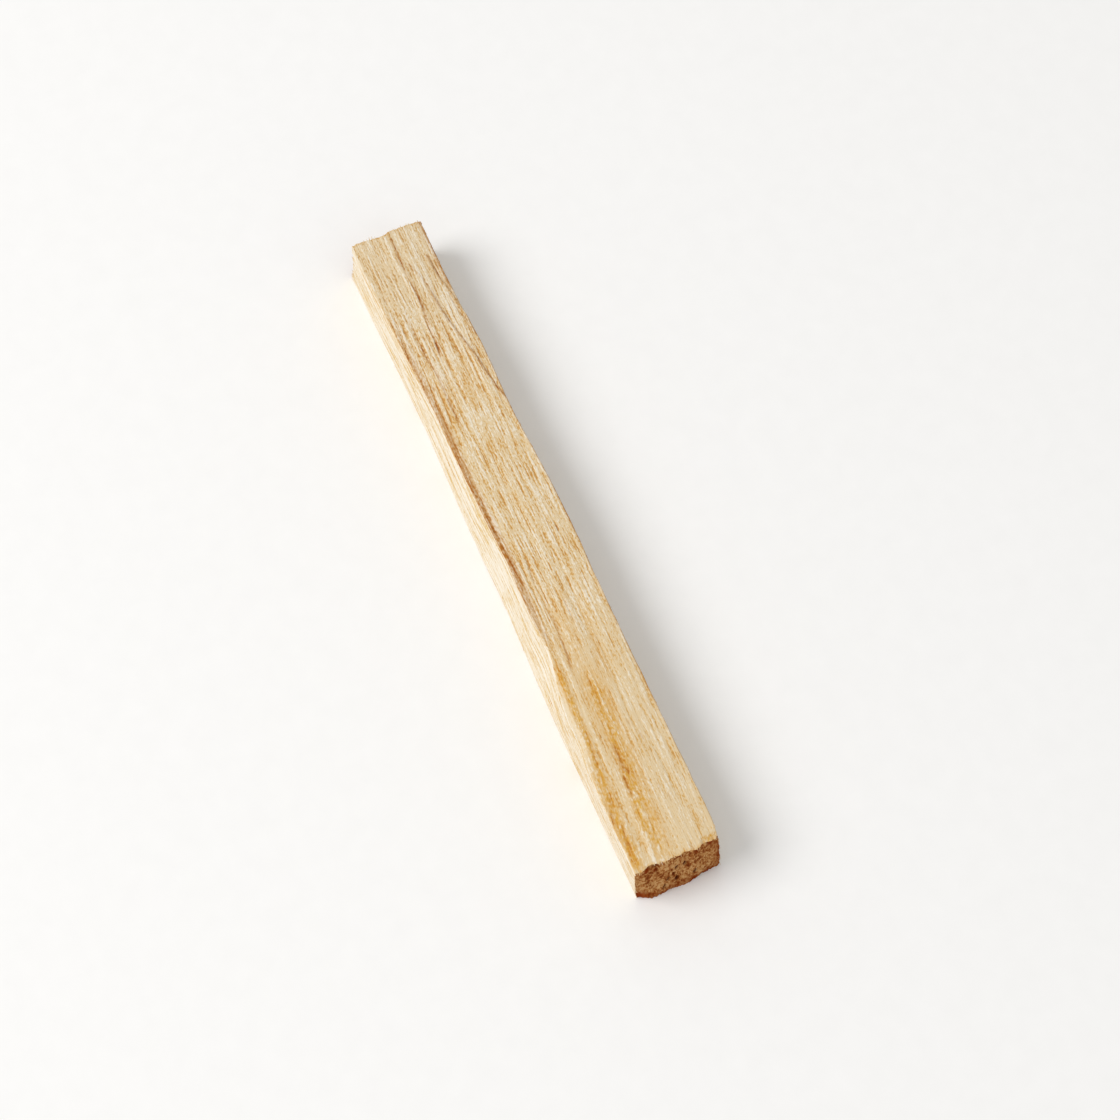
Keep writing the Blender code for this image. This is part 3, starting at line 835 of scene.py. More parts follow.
@dataclass(frozen=True)
class WoodFigure:
    """Where the wood's relief, its colours and its loose fibres lie on the stick, with lengths in mm."""

    form: StickForm
    # How the grain is straightened
    waver: float = 0.07
    waver_size: Pair = (9.0, 2.5)
    sink_left: float = 0.2
    sink_gain: float = 0.25
    side_scale: float = 0.55
    underside_share: float = 0.3
    # Brown along the long top edges; on the right edge its band is partly, and its line wholly, painted shade
    left_band: Pair = (0.1, 0.2)
    left_band_fade: float = 0.5
    edge_half_widths: tuple[float, float, float] = (0.45, 0.5, 0.18)
    edge_gain: float = 1.2
    # Brown and honey at the ends; the brown in the end's pits and in the break below its top rim is painted
    # shade
    pit_sharpness: int = 3
    rim_undercut_shade: float = 0.6
    rim_width: float = 0.5
    rim_honey: float = 0.4
    # How many columns and rows count as a long edge
    edge_columns: int = 6
    edge_rows: int = 5
    # Greyer darks on the far third, as a share and places: painted shade, grey as the shade in its relief is
    grey_shade: float = 0.55
    grey_shade_end: float = 0.32
    grey_shade_fade: float = 0.26
    # Fading of the ends' relief, in rows, and how pale the bevel and other sides are; the bevel's paleness is
    # painted light, of a facet turned to the light
    sawn_blend: float = 3.0
    bevel_painted_light: float = 0.6
    other_pale: float = 0.5
    # Shares of loose fibres
    rim_fray: float = 0.6
    edge_fray: float = 0.12
    least_fray: float = 0.012

    def marked(self, x: Array, y: Array, z: Array, top: Array, left: Array) -> dict[str, Array]:
        """Lays the marks on the broad face and the pale side.

        Args:
            x: The points' places along the stick in mm.
            y: Their distances across it in mm.
            z: Their heights in mm.
            top: Which of them are on the broad face.
            left: Which of them are on the pale side.

        Returns:
            The strength of "brown" and "honey" and the depth of "dent" in mm at each point.
        """
        found = {name: np.zeros_like(x) for name in ("brown", "honey", "dent")}
        for mark in MARKS:
            across, on_face = (y, top) if mark.face is Face.BROAD else (z, left)
            weight = mark.weight(x, across) * on_face
            for name, strength in (("brown", mark.brown), ("honey", mark.honey), ("dent", mark.depth)):
                found[name] = np.maximum(found[name], strength * weight)
        return found

    def top_brown(self, x: Array, place: Array, y: Array, from_left: Array, from_right: Array) -> Array:
        """Brown of the broad face's cracks, ledges and long edges; in the cracks, the ledges and the right
        edge's band it is partly painted shade, in the right edge's line wholly.

        Args:
            x: Where along the stick in mm.
            place: The same as a fraction of the length.
            y: Distance across in mm.
            from_left: Distance in from the left edge in mm.
            from_right: Distance in from the right edge in mm.

        Returns:
            Strengths of the brown.
        """
        brown = np.zeros_like(x)
        # cracks and ledges: their brown is partly painted shade
        for name, strength, half in TORN_STAINS_AND_SHADE:
            line = getattr(self.form, name)
            inside = (place > line.points[0][0]) & (place < line.points[-1][0])
            brown = np.maximum(brown, inside * self.form.crack(place, y, line, strength, half))
        start, end = self.left_band
        band = np.maximum(start - from_left, self.left_band_fade * (from_left - end))
        # the right edge's band is partly, and its line wholly, painted shade of the rounding turned from the
        # light
        for distance, strength, half in zip(
            (band, from_right, from_right), (LEFT_ARRIS, RIGHT_BAND_AND_SHADE, RIGHT_SHADE_LINE), self.edge_half_widths
        ):
            brown = np.maximum(brown, strength.at(x) * np.clip(self.edge_gain - distance / half, 0, 1))
        return brown

    def values(self, laid: dict[str, Array]) -> dict[str, Array]:
        """Works out the values that the relief and the finish read at each point.

        Args:
            laid: What the grid's lay() returned.

        Returns:
            "grain_place", the place in the wood in mm once its grain is straightened; "outward", the way the
            relief stands; "dent", the depth of a mark in mm; and shares: "split" and "sawn", how strong the
            relief and figure of each kind are, "grey_trough_shade", how far the far third's darks are greyed
            as painted shade, "pale", "brown" and "honey", its colours, of which pale is partly painted light
            and brown partly painted shade, and "frayed", how many loose fibres grow there.
        """
        form, (i, j, k) = self.form, laid["index"]
        x, place = laid["x"], laid["place"]
        y, z = laid["points"][:, 1], laid["points"][:, 2]
        last = np.array(laid["ids"].shape)[:, None] - 1
        top, bottom, left, right = k == last[2], k == 0, j == 0, j == last[1]
        near, far = i == last[0], i == 0
        cap = (near | far) & ~(top | bottom | left | right)
        left_edge, right_edge = form.edges(place, 1.0)
        from_left, from_right = y - left_edge, right_edge - y
        share = np.clip(from_left / (from_left + from_right), 0, 1)
        waver = self.waver * swell(x / self.waver_size[0], y / self.waver_size[1], SEED + 50)
        sink = (self.sink_left + self.sink_gain * share) * (z - form.thickness(place))
        across, down = y - form.drift(place, y) + waver, self.side_scale * z + sink + waver
        outward = np.stack([
            cap * (near * 1.0 - far), right * 1.0 - left, top * 1.0 + self.underside_share * bottom
        ], axis=1)
        outward /= np.maximum(np.linalg.norm(outward, axis=1), 1)[:, None]
        found = self.marked(x, y, z, top, left)
        # the sawn ends' pits and the break below the brown rim are painted dark, as the shade in them
        holes = np.where(near, form.pits(y, z, form.near_pits), form.pits(y, z, form.far_pits))
        holes = (holes / form.pit_depth) ** self.pit_sharpness
        pit_and_rim_shade = np.clip(holes + self.rim_undercut_shade * near * laid["broken"], 0, 1)
        torn = top * self.top_brown(x, place, y, from_left, from_right)
        found["brown"] = np.where(cap, pit_and_rim_shade, np.maximum(found["brown"], torn))
        rim = np.minimum(form.near_end - x, x - form.far_end)
        found["honey"] = np.maximum(found["honey"], ~cap * self.rim_honey * ease(1 - rim / self.rim_width))
        calm = np.where(left, SIDE_ROUGHNESS.at(place), ROUGHNESS.at(place))
        bevel = top * form.bevelled(place, from_left) / max(depth for _, depth in form.bevel.points)
        columns_in, rows_in = np.minimum(j, last[1] - j), np.minimum(k, last[2] - k)
        under_edge = (left | right) & (last[2] - k < self.edge_rows)
        long_edge = (top & (columns_in < self.edge_columns)) | under_edge
        frayed = (rim < self.rim_width) * self.rim_fray + self.edge_fray * long_edge + self.least_fray
        return {
            "grain_place": np.stack([x, across, down], axis=1),
            "outward": outward,
            "split": np.where(cap, 0, calm) * ~bottom,
            # greyer darks of the far third: painted shade
            "grey_trough_shade": self.grey_shade * ease((self.grey_shade_end - place) / self.grey_shade_fade),
            "sawn": cap * ease(np.minimum(columns_in, rows_in) / self.sawn_blend),
            # the pale side: its own paler wood, made lighter still as painted light from -Y; the bevel:
            # painted light
            "pale": np.select([top, left], [self.bevel_painted_light * bevel, 1.0], self.other_pale),
            **found,
            "frayed": np.clip(frayed, 0, 1) * ~bottom * ~cap,
        }


@dataclass(frozen=True)
class StickGrid:
    """The grid laid on the form: stations along the stick, columns across it and rows up its sides."""

    form: StickForm
    inner_stations: int = 200
    end_gaps: tuple[float, ...] = (
        0.1, 0.1, 0.1, 0.11, 0.12, 0.13, 0.14, 0.16, 0.18, 0.2, 0.23, 0.27, 0.31, 0.36, 0.4, 0.44,
    )
    inner_columns: int = 122
    inner_rows: int = 40
    edge_angles: tuple[float, ...] = (0, 50, 90)
    # Torn fibres round the ends
    tooth_coarse: float = 0.07
    tooth_coarse_size: Pair = (0.5, 0.6)
    tooth_fine: float = 0.09
    tooth_fine_size: Pair = (0.21, 0.25)
    tooth_reach: float = 0.8
    # Breaks below the brown end's rim
    undercuts: Points = ((4.5, 0.8), (2.4, 0.5), (-3.2, 0.6), (-4.4, 0.4))
    undercut_depth: float = 0.2
    undercut_level: float = 0.55
    undercut_ramp: float = 0.15
    undercut_fade: float = 0.5
    undercut_reach: float = 1.3
    # The map, from 0 to 1
    map_gap: float = 0.006
    strip_end: float = 0.86
    end_left: float = 0.875
    end_height: float = 0.48

    def stations(self) -> Array:
        """Spaces the stations, closest together at the two ends.

        Returns:
            X of every station in mm.
        """
        form, run = self.form, np.cumsum(self.end_gaps)
        inner = np.linspace(form.far_end + run[-1], form.near_end - run[-1], self.inner_stations + 1)
        far, near = form.far_end + np.append(0, run[:-1]), form.near_end - np.append(0, run[:-1])[::-1]
        return np.concatenate([far, inner, near])

    def shares(self, width: float, inner: int) -> Array:
        """Shares of a width, from 0 to 1, with a few close ones round each worn edge.

        Args:
            width: The width that is shared out, in mm.
            inner: How many even gaps lie between the worn edges.

        Returns:
            The shares, in order.
        """
        radius = self.form.arris_radius / width
        edge = radius * (1 - np.cos(np.radians(self.edge_angles)))
        return np.concatenate([edge[:-1], np.linspace(radius, 1 - radius, inner + 1), (1 - edge[:-1])[::-1]])

    def lay(self) -> dict[str, Array]:
        """Lays the grid's outer points on the form.

        Returns:
            The points' numbers on the grid ("ids"), their indices ("index"), places in mm ("points"), nominal
            x ("x"), place along the stick ("place") and how deep the break below the brown rim is ("broken").
        """
        form = self.form
        stations = self.stations()
        columns = self.shares(form.width_far, self.inner_columns)
        rows = self.shares(form.thickness_far, self.inner_rows)
        shape = (len(stations), len(columns), len(rows))
        steps = np.indices(shape)
        outer = np.any([(step == 0) | (step == count - 1) for step, count in zip(steps, shape)], axis=0)
        ids = np.full(shape, -1)
        ids[outer] = np.arange(outer.sum())
        i, j, k = steps[:, outer]
        x, up, place = stations[i], rows[k], form.place_of(stations[i])
        left, right = form.edges(place, up)
        y = left + (right - left) * columns[j]
        z = form.underside(x, y) * (1 - up) + form.top_face(x, y) * up
        inside = (0 < j) & (j < shape[1] - 1) & (0 < k) & (k < shape[2] - 1)
        broken = self.undercut(y, form.thickness_near - z)
        near = form.near_face(y, up) * ease(1 - (form.near_end - x) / form.end_blend)
        near += self.teeth(y, z, SEED + 30) * ease(1 - (form.near_end - x) / self.tooth_reach)
        near -= inside * (i > 0) * self.undercut_depth * broken
        far = form.far_face(y, up) * ease(1 - (x - form.far_end) / form.end_blend)
        far -= self.teeth(y, z, SEED + 40) * ease(1 - (x - form.far_end) / self.tooth_reach)
        points, index = np.stack([x + near + far, y, z], axis=1), np.stack([i, j, k])
        return {"ids": ids, "index": index, "points": points, "x": x, "place": place, "broken": broken}

    def teeth(self, y: Array, z: Array, seed: int) -> Array:
        """How far torn fibres stand out round a sawn end.

        Args:
            y: Distance across in mm.
            z: Height in mm.
            seed: Picks the end.

        Returns:
            Lengths in mm.
        """
        (long, high), (short, low) = self.tooth_coarse_size, self.tooth_fine_size
        coarse = self.tooth_coarse * swell(y / long, z / high, seed)
        return coarse + self.tooth_fine * swell(y / short, z / low, seed + 1)

    def undercut(self, y: Array, below: Array) -> Array:
        """Where the brown end is broken away just below its top rim.

        Args:
            y: Distance across in mm.
            below: Distance below the broad face in mm.

        Returns:
            Shares of the break's depth.
        """
        fading = ease(1 - (below - self.undercut_level) / self.undercut_fade)
        across = sum(ease(self.undercut_reach - np.abs(y - centre) / half) for centre, half in self.undercuts)
        return ease(below / self.undercut_ramp) * fading * np.clip(across, 0, 1)

    def quads(self, ids: Array) -> list[tuple[Array, Array]]:
        """The grid's six sides, faces turned outwards.

        Args:
            ids: The points' numbers on the grid.

        Returns:
            For the broad face, underside, pale side, right side, brown end and far end: four point numbers
            for each face, and for each of those its share of the way along the side's two directions.
        """
        sides = (
            (ids[:, :, -1], False), (ids[:, :, 0], True), (ids[:, 0, :], False), (ids[:, -1, :], True),
            (ids[-1], False), (ids[0], True),
        )
        low, high = slice(None, -1), slice(1, None)
        ring = ((low, low), (high, low), (high, high), (low, high))
        found = []
        for sheet, turned in sides:
            corners = ring[::-1] if turned else ring
            along, across = np.indices(sheet.shape)
            way = np.stack([along / (sheet.shape[0] - 1), across / (sheet.shape[1] - 1)], axis=-1)
            faces = np.stack([sheet[c].ravel() for c in corners], axis=1)
            found.append((faces, np.stack([way[c].reshape(-1, 2) for c in corners], axis=1)))
        return found

    def chart(self) -> tuple[tuple[float, ...], ...]:
        """Lays the sides out on the stick's own map, the long ones as strips and the sawn ends beside them.

        Returns:
            (left, bottom, right, top) of each side, in the order of quads().
        """
        widths = (self.form.width_near,) * 2 + (self.form.thickness_near,) * 2
        gap, low, found = self.map_gap, self.map_gap, []
        scale = (1 - gap * (len(widths) + 1)) / sum(widths)
        for width in widths:
            found.append((gap, low, self.strip_end, low + width * scale))
            low += width * scale + gap
        found += [(self.end_left, start, 1 - gap, start + self.end_height) for start in (gap, 0.5 + gap)]
        return tuple(found)

    def build(self, name: str, figure: WoodFigure) -> Object:
        """Makes the stick's base mesh with the values that its relief and its finish read.

        Args:
            name: The object's name.
            figure: Works out the values.

        Returns:
            The object, in metres, centred as the solid is.
        """
        laid = self.lay()
        points = laid["points"]
        low, high = points.min(axis=0), points.max(axis=0)
        middle = np.array([(low[0] + high[0]) / 2, (low[1] + high[1]) / 2, low[2]])
        sides = self.quads(laid["ids"])
        faces = np.concatenate([quad for quad, _ in sides])
        mesh = bpy.data.meshes.new(name)
        mesh.from_pydata(((points - middle) * MM).tolist(), [], faces.tolist())
        chart = np.concatenate([
            np.array(corner[:2]) + way * (np.array(corner[2:]) - corner[:2])
            for (_, way), corner in zip(sides, self.chart())
        ])
        mesh.uv_layers.new(name="OFBake").data.foreach_set("uv", chart.ravel())
        cut = np.repeat([0, 0, 0, 0, 1, 1], [len(quad) for quad, _ in sides])
        mesh.attributes.new("sawn_face", "BOOLEAN", "FACE").data.foreach_set("value", cut.astype(bool))
        for key, value in figure.values(laid).items():
            kind, slot = ("FLOAT_VECTOR", "vector") if value.ndim == 2 else ("FLOAT", "value")
            attribute = mesh.attributes.new(key, kind, "POINT")
            attribute.data.foreach_set(slot, value.astype(np.float32).ravel())
        mesh.shade_smooth()
        log.info("%s: %d points on a grid of %s", name, len(points), laid["ids"].shape)
        return new_object(name, mesh)


@dataclass(frozen=True)
class SplitRelief:
    """Fibres, torn flakes and dashes of the split faces, and the crumbs and pores of the sawn ends."""

    grain: Grain = Grain()
    flake_length: float = 14.0
    flake_width: float = 0.85
    flake_height: float = 0.015
    ridge_height: float = 0.08
    fibre_height: float = 0.045
    dash_depth: float = 0.03
    crumb_size: float = 0.8
    crumb_height: float = 0.09
    grit_size: float = 0.25
    grit_height: float = 0.035
    # Real pores are under 0.1 mm across, too fine to show, so fewer and wider ones are drawn
    pore_spacing: float = 1.8
    pore_radius: float = 0.16
    pore_floor: float = 0.06
    pore_depth: float = 0.15

    def tree(self, long_grain: Material, end_grain: Material) -> ShapeTree:
        """Builds the tree that raises the relief and keeps its height as the value "hollow".

        Args:
            long_grain: The finish of the four long faces.
            end_grain: The finish of the sawn ends.

        Returns:
            The tree, with an input for each size.
        """
        tree = new_shape("split relief", self.values())
        given = add(tree, "NodeGroupInput").outputs
        size = {name: given[name] for name in self.values()}
        read = {
            name: add(tree, "GeometryNodeInputNamedAttribute", {"Name": name}, data_type=kind).outputs[0]
            for name, kind in (
                ("grain_place", "FLOAT_VECTOR"), ("outward", "FLOAT_VECTOR"), ("split", "FLOAT"),
                ("sawn", "FLOAT"), ("dent", "FLOAT"), ("sawn_face", "BOOLEAN"),
            )
        }
        split = self.split_height(tree, read["grain_place"], size)
        sawn = self.sawn_height(tree, size)
        dent = add(tree, MATH, (0.0, read["dent"]), operation="SUBTRACT")
        split = add(tree, MATH, (split, read["split"], dent), operation="MULTIPLY_ADD")
        height = add(tree, MATH, (sawn, read["sawn"], split), operation="MULTIPLY_ADD")
        metres = add(tree, MATH, (height, MM), operation="MULTIPLY")
        offset = add(tree, VECTOR, {0: read["outward"], "Scale": metres}, operation="SCALE")
        stored = add(
            tree, "GeometryNodeStoreNamedAttribute",
            {"Geometry": given["Geometry"], "Name": "hollow", "Value": height},
            data_type="FLOAT", domain="POINT",
        )
        raised = add(tree, "GeometryNodeSetPosition", {"Geometry": stored, "Offset": offset})
        real = add(tree, "GeometryNodeRealizeInstances", {"Geometry": raised})
        dressed = add(tree, "GeometryNodeSetMaterial", {"Geometry": real, "Material": long_grain})
        dressed = add(
            tree, "GeometryNodeSetMaterial",
            {"Geometry": dressed, "Selection": read["sawn_face"], "Material": end_grain},
        )
        add(tree, "NodeGroupOutput", {"Geometry": dressed})
        return tree

    def split_height(self, tree: Tree, place: Feed, size: dict[str, Socket]) -> Socket:
        """Height in mm of the split faces' relief.

        Args:
            tree: The tree to add to.
            place: The place in the wood, in mm.
            size: The tree's own size sockets by name.

        Returns:
            The height's socket.
        """
        flake = in_cells(tree, place, size["flake_length"], size["flake_width"])
        cell = add(tree, "ShaderNodeTexVoronoi", {"Vector": flake, "Scale": 1.0})
        level = add(tree, "ShaderNodeSeparateXYZ", {"Vector": cell.outputs["Color"]})
        fibres = self.grain.draw(tree, place, size)
        dash_height = add(tree, MATH, (0.0, size["dash_depth"]), operation="SUBTRACT")
        return weighted(tree, 0.0, (
            (level, size["flake_height"], MEAN),
            (fibres["ridge"], size["ridge_height"], MEAN),
            (fibres["fibre"], size["fibre_height"], MEAN),
            (fibres["dash"], dash_height, 0.0),
        ))

    def sawn_height(self, tree: Tree, size: dict[str, Socket]) -> Socket:
        """Height in mm of the sawn ends' relief.

        Args:
            tree: The tree to add to.
            size: The tree's own size sockets by name.

        Returns:
            The height's socket.
        """
        position = add(tree, "GeometryNodeInputPosition")
        flat = add(tree, VECTOR, (position, (0.0, 1 / MM, 1 / MM)), operation="MULTIPLY")
        crumb = along_grain(tree, flat, 1.0, size["crumb_size"], detail=1.0, seed=3.0)
        grit = along_grain(tree, flat, 1.0, size["grit_size"], detail=0.0, seed=5.0)
        spacing = add(tree, MATH, (1.0, size["pore_spacing"]), operation="DIVIDE")
        spread = add(tree, VECTOR, {0: flat, "Scale": spacing}, operation="SCALE")
        near = add(tree, "ShaderNodeTexVoronoi", {"Vector": spread, "Scale": 1.0}).outputs["Distance"]
        distance = add(tree, MATH, (near, size["pore_spacing"]), operation="MULTIPLY")
        pore = add(tree, "ShaderNodeMapRange", {
            "Value": distance, "From Min": size["pore_radius"], "From Max": size["pore_floor"],
            "To Min": 0.0, "To Max": 1.0,
        })
        deep = add(tree, MATH, (pore, size["pore_depth"]), operation="MULTIPLY")
        height = add(tree, MATH, (0.0, deep), operation="SUBTRACT")
        return weighted(tree, height, (
            (crumb, size["crumb_height"], MEAN), (grit, size["grit_height"], MEAN),
        ))

    def values(self) -> dict[str, float]:
        """The tree's inputs by name."""
        own = {name: value for name, value in vars(self).items() if name != "grain"}
        return {**vars(self.grain), **own}


@dataclass(frozen=True)
class TornFibres:
    """Loose ends of fibre left by the saw and the split, thickest on the rims of the sawn ends."""

    # Loose fibres are drawn several times as thick as real ones, which would be too fine to show
    density: float = 9.0e6
    thinnest: float = 0.03
    thickest: float = 0.07
    shortest: float = 0.15
    longest: float = 0.5
    lift: float = 0.14
    turn: float = 0.12
    tip: float = 0.35
    sides: int = 5
    seed: int = 5

    def tree(self, finish: Material) -> ShapeTree:
        """Builds the tree that grows the fibres on the stick's surface.

        Args:
            finish: The fibres' material.

        Returns:
            The tree, with an input for each size.
        """
        tree = new_shape("torn fibres", self.values())
        given = add(tree, "NodeGroupInput").outputs
        frayed = add(tree, "GeometryNodeInputNamedAttribute", {"Name": "frayed"}, data_type="FLOAT")
        density = add(tree, MATH, (frayed, given["Density"]), operation="MULTIPLY")
        roots = add(
            tree, "GeometryNodeDistributePointsOnFaces",
            {"Mesh": given["Geometry"], "Density": density, "Seed": given["Seed"]},
            distribute_method="RANDOM",
        )
        other_turn = add(tree, MATH, (0.0, given["Turn"]), operation="SUBTRACT")
        tilt, turn, thick, length = (
            add(tree, "FunctionNodeRandomValue", {2: low, 3: high, "Seed": seed}).outputs[1]
            for seed, low, high in (
                (1, 0.0, given["Lift"]), (2, other_turn, given["Turn"]),
                (3, given["Thinnest"], given["Thickest"]), (4, given["Shortest"], given["Longest"]),
            )
        )
        along = add(tree, "ShaderNodeSeparateXYZ", {"Vector": add(tree, "GeometryNodeInputPosition")})
        way = add(tree, MATH, {0: along.outputs["X"]}, operation="SIGN")
        flat = add(tree, "ShaderNodeCombineXYZ", {"X": way, "Y": turn, "Z": 0.0})
        normal = roots.outputs["Normal"]
        lifted = add(tree, VECTOR, {0: normal, "Scale": tilt}, operation="SCALE")
        aim = add(tree, VECTOR, (flat, lifted), operation="ADD")
        turned = add(tree, "FunctionNodeAlignRotationToVector", {"Vector": aim}, axis="Z")
        scale = add(tree, "ShaderNodeCombineXYZ", {"X": thick, "Y": thick, "Z": length})
        tip = add(tree, MATH, (given["Tip"], MM), operation="MULTIPLY")
        fibre = add(tree, "GeometryNodeMeshCone", {
            "Vertices": given["Sides"], "Side Segments": 2, "Radius Top": tip, "Radius Bottom": MM,
            "Depth": MM,
        })
        placed = add(
            tree, "GeometryNodeInstanceOnPoints",
            {"Points": roots, "Instance": fibre, "Rotation": turned, "Scale": scale},
        )
        real = add(tree, "GeometryNodeRealizeInstances", {"Geometry": placed})
        dressed = add(tree, "GeometryNodeSetMaterial", {"Geometry": real, "Material": finish})
        add(tree, "NodeGroupOutput", {"Geometry": dressed})
        return tree

    def values(self) -> dict[str, float]:
        """The tree's inputs by name."""
        return {name.capitalize(): getattr(self, name) for name in self.__dataclass_fields__}


def shaped(piece: Object, tree: ShapeTree, values: dict[str, float]) -> Object:
    """Runs a tree on a piece and keeps the result as a plain mesh.

    Args:
        piece: The object whose mesh the tree reads.
        tree: The tree.
        values: The tree's inputs by name.

    Returns:
        The same object with its new mesh and no modifier.
    """
    modifier = piece.modifiers.new(tree.name, "NODES")
    modifier.node_group = tree
    for item in tree.interface.items_tree:
        if item.in_out == "INPUT" and item.name in values:
            modifier[item.identifier] = values[item.name]
    bpy.context.view_layer.update()
    evaluated = piece.evaluated_get(bpy.context.evaluated_depsgraph_get())
    mesh = bpy.data.meshes.new_from_object(evaluated)
    piece.modifiers.clear()
    piece.data = mesh
    log.info("%s: %d faces from the tree %s", piece.name, len(mesh.polygons), tree.name)
    return piece


@dataclass(frozen=True)
class LongGrainFinish:
    """Palo santo split along its grain and left bare: matt straw fibres with tan troughs and honey resin."""

    grain: Grain = Grain()
    cream: str = "E6DAC4"
    straw: str = "DAC299"
    tan: str = "D0A868"
    umber: str = "BE873F"
    # the pale side's colours: its own paler wood, lightened in part as painted light from -Y
    ivory: str = "E6DDCD"
    bone: str = "DDCCAE"
    shade: str = "CEAA64"
    # greyer copies for the far third, whose darker tones stand for shade in its relief
    greyed_cream: str = "E4DAC7"
    greyed_straw: str = "D8C3A0"
    greyed_tan: str = "C8A878"
    greyed_umber: str = "AE8250"
    honey: str = "F2CE74"
    # brown of marks, cracks and edges; in the cracks and on the right edge it is partly painted shade
    brown: str = "C8943E"
    # Patterns, as length and width in mm, and their weights
    band: Pair = (30.0, 2.0)
    grit: Pair = (0.4, 0.2)
    clot: Pair = (0.6, 0.28)
    top_weights: tuple[float, ...] = (0.2, 1.1, 1.45, 1.25)
    side_weights: tuple[float, ...] = (0.2, 1.4, 1.4, 0.8)
    dash_weight: float = -0.3
    dash_middle: float = 0.1
    top_stops: tuple[float, ...] = (0.0, 0.26, 0.42, 0.6, 0.82)
    side_stops: tuple[float, ...] = (0.14, 0.42, 0.72)
    # How resin, dirt and the brown that stands partly for shade in cracks and on the right edge soak in:
    # everywhere, then by fibres and clots
    soak: float = 0.85
    honey_soak: Pair = (-0.5, 2.4)
    brown_soak: Pair = (-0.6, 1.3)
    least_figure: float = 0.5
    roughness: float = 0.7
    specular: float = 0.25
    sheen: float = 0.08
    sheen_roughness: float = 0.5
    bump: float = 0.5
    bump_height: float = 0.05

    def material(self) -> Material:
        """Builds the material. Its patterns are laid out in mm along the straightened grain.

        Returns:
            The material.
        """
        # Hardly any gloss: the eye reads dry wood from fibres that catch the light above warm, tan troughs
        material = new_material("split palo santo, bare")
        tree = material.node_tree
        place = add(tree, "ShaderNodeAttribute", attribute_name="grain_place").outputs["Vector"]
        read = {
            name: add(tree, "ShaderNodeAttribute", attribute_name=name).outputs["Fac"]
            for name in ("split", "pale", "brown", "honey", "grey_trough_shade")
        }
        fibres = self.grain.draw(tree, place, vars(self.grain))
        bands = along_grain(tree, place, *self.band, seed=2.0)
        grit = along_grain(tree, place, *self.grit, seed=12.0)
        pattern, streaks = (
            weighted(tree, 0.0, tuple(
                (part, weight, MEAN)
                for part, weight in zip((bands, fibres["ridge"], fibres["fibre"], grit), weights)
            ))
            for weights in (self.top_weights, self.side_weights)
        )
        pattern = weighted(tree, pattern, ((fibres["dash"], self.dash_weight, self.dash_middle),))
        figure = add(tree, MATH, (read["split"], self.least_figure), operation="MAXIMUM")
        tone, side_tone = (
            add(tree, MATH, (drawn, figure, MEAN), operation="MULTIPLY_ADD")
            for drawn in (pattern, streaks)
        )
        fresh, greyed, side = (
            add(tree, "ShaderNodeValToRGB", {"Fac": fac}, stops=tuple(zip(stops, map(linear, codes))))
            for fac, stops, codes in (
                (tone, self.top_stops, (self.umber, self.tan, self.straw, self.straw, self.cream)),
                (tone, self.top_stops, (
                    self.greyed_umber, self.greyed_tan, self.greyed_straw, self.greyed_straw, self.greyed_cream,
                )),
                (side_tone, self.side_stops, (self.shade, self.bone, self.ivory)),
            )
        )
        # the far third mixes towards the greyer ramp, as painted shade
        colour = fresh
        # the pale side and the bevel take the paler ramp, which is partly painted light
        for share, other in ((read["grey_trough_shade"], greyed), (read["pale"], side)):
            colour = add(tree, "ShaderNodeMix", {0: share, 6: colour, 7: other}, data_type="RGBA").outputs[2]
        clots = along_grain(tree, place, *self.clot, seed=15.0)
        for name, stain, (on_fibres, in_clots) in (
            ("honey", self.honey, self.honey_soak), ("brown", self.brown, self.brown_soak),
        ):
            thirst = weighted(tree, self.soak, ((pattern, on_fibres, 0.0), (clots, in_clots, MEAN)))
            soaked = add(tree, MATH, (read[name], thirst), operation="MULTIPLY", use_clamp=True)
            colour = add(
                tree, "ShaderNodeMix", {0: soaked, 6: colour, 7: linear(stain)},
                data_type="RGBA", blend_type="MULTIPLY",
            ).outputs[2]
        bump = add(
            tree, "ShaderNodeBump",
            {"Height": pattern, "Strength": self.bump, "Distance": self.bump_height * MM},
        )
        shader = add(tree, "ShaderNodeBsdfPrincipled", {
            "Base Color": colour, "Roughness": self.roughness, "Specular IOR Level": self.specular,
            "Normal": bump, "Sheen Weight": self.sheen, "Sheen Roughness": self.sheen_roughness,
        })
        add(tree, "ShaderNodeOutputMaterial", {"Surface": shader})
        return material


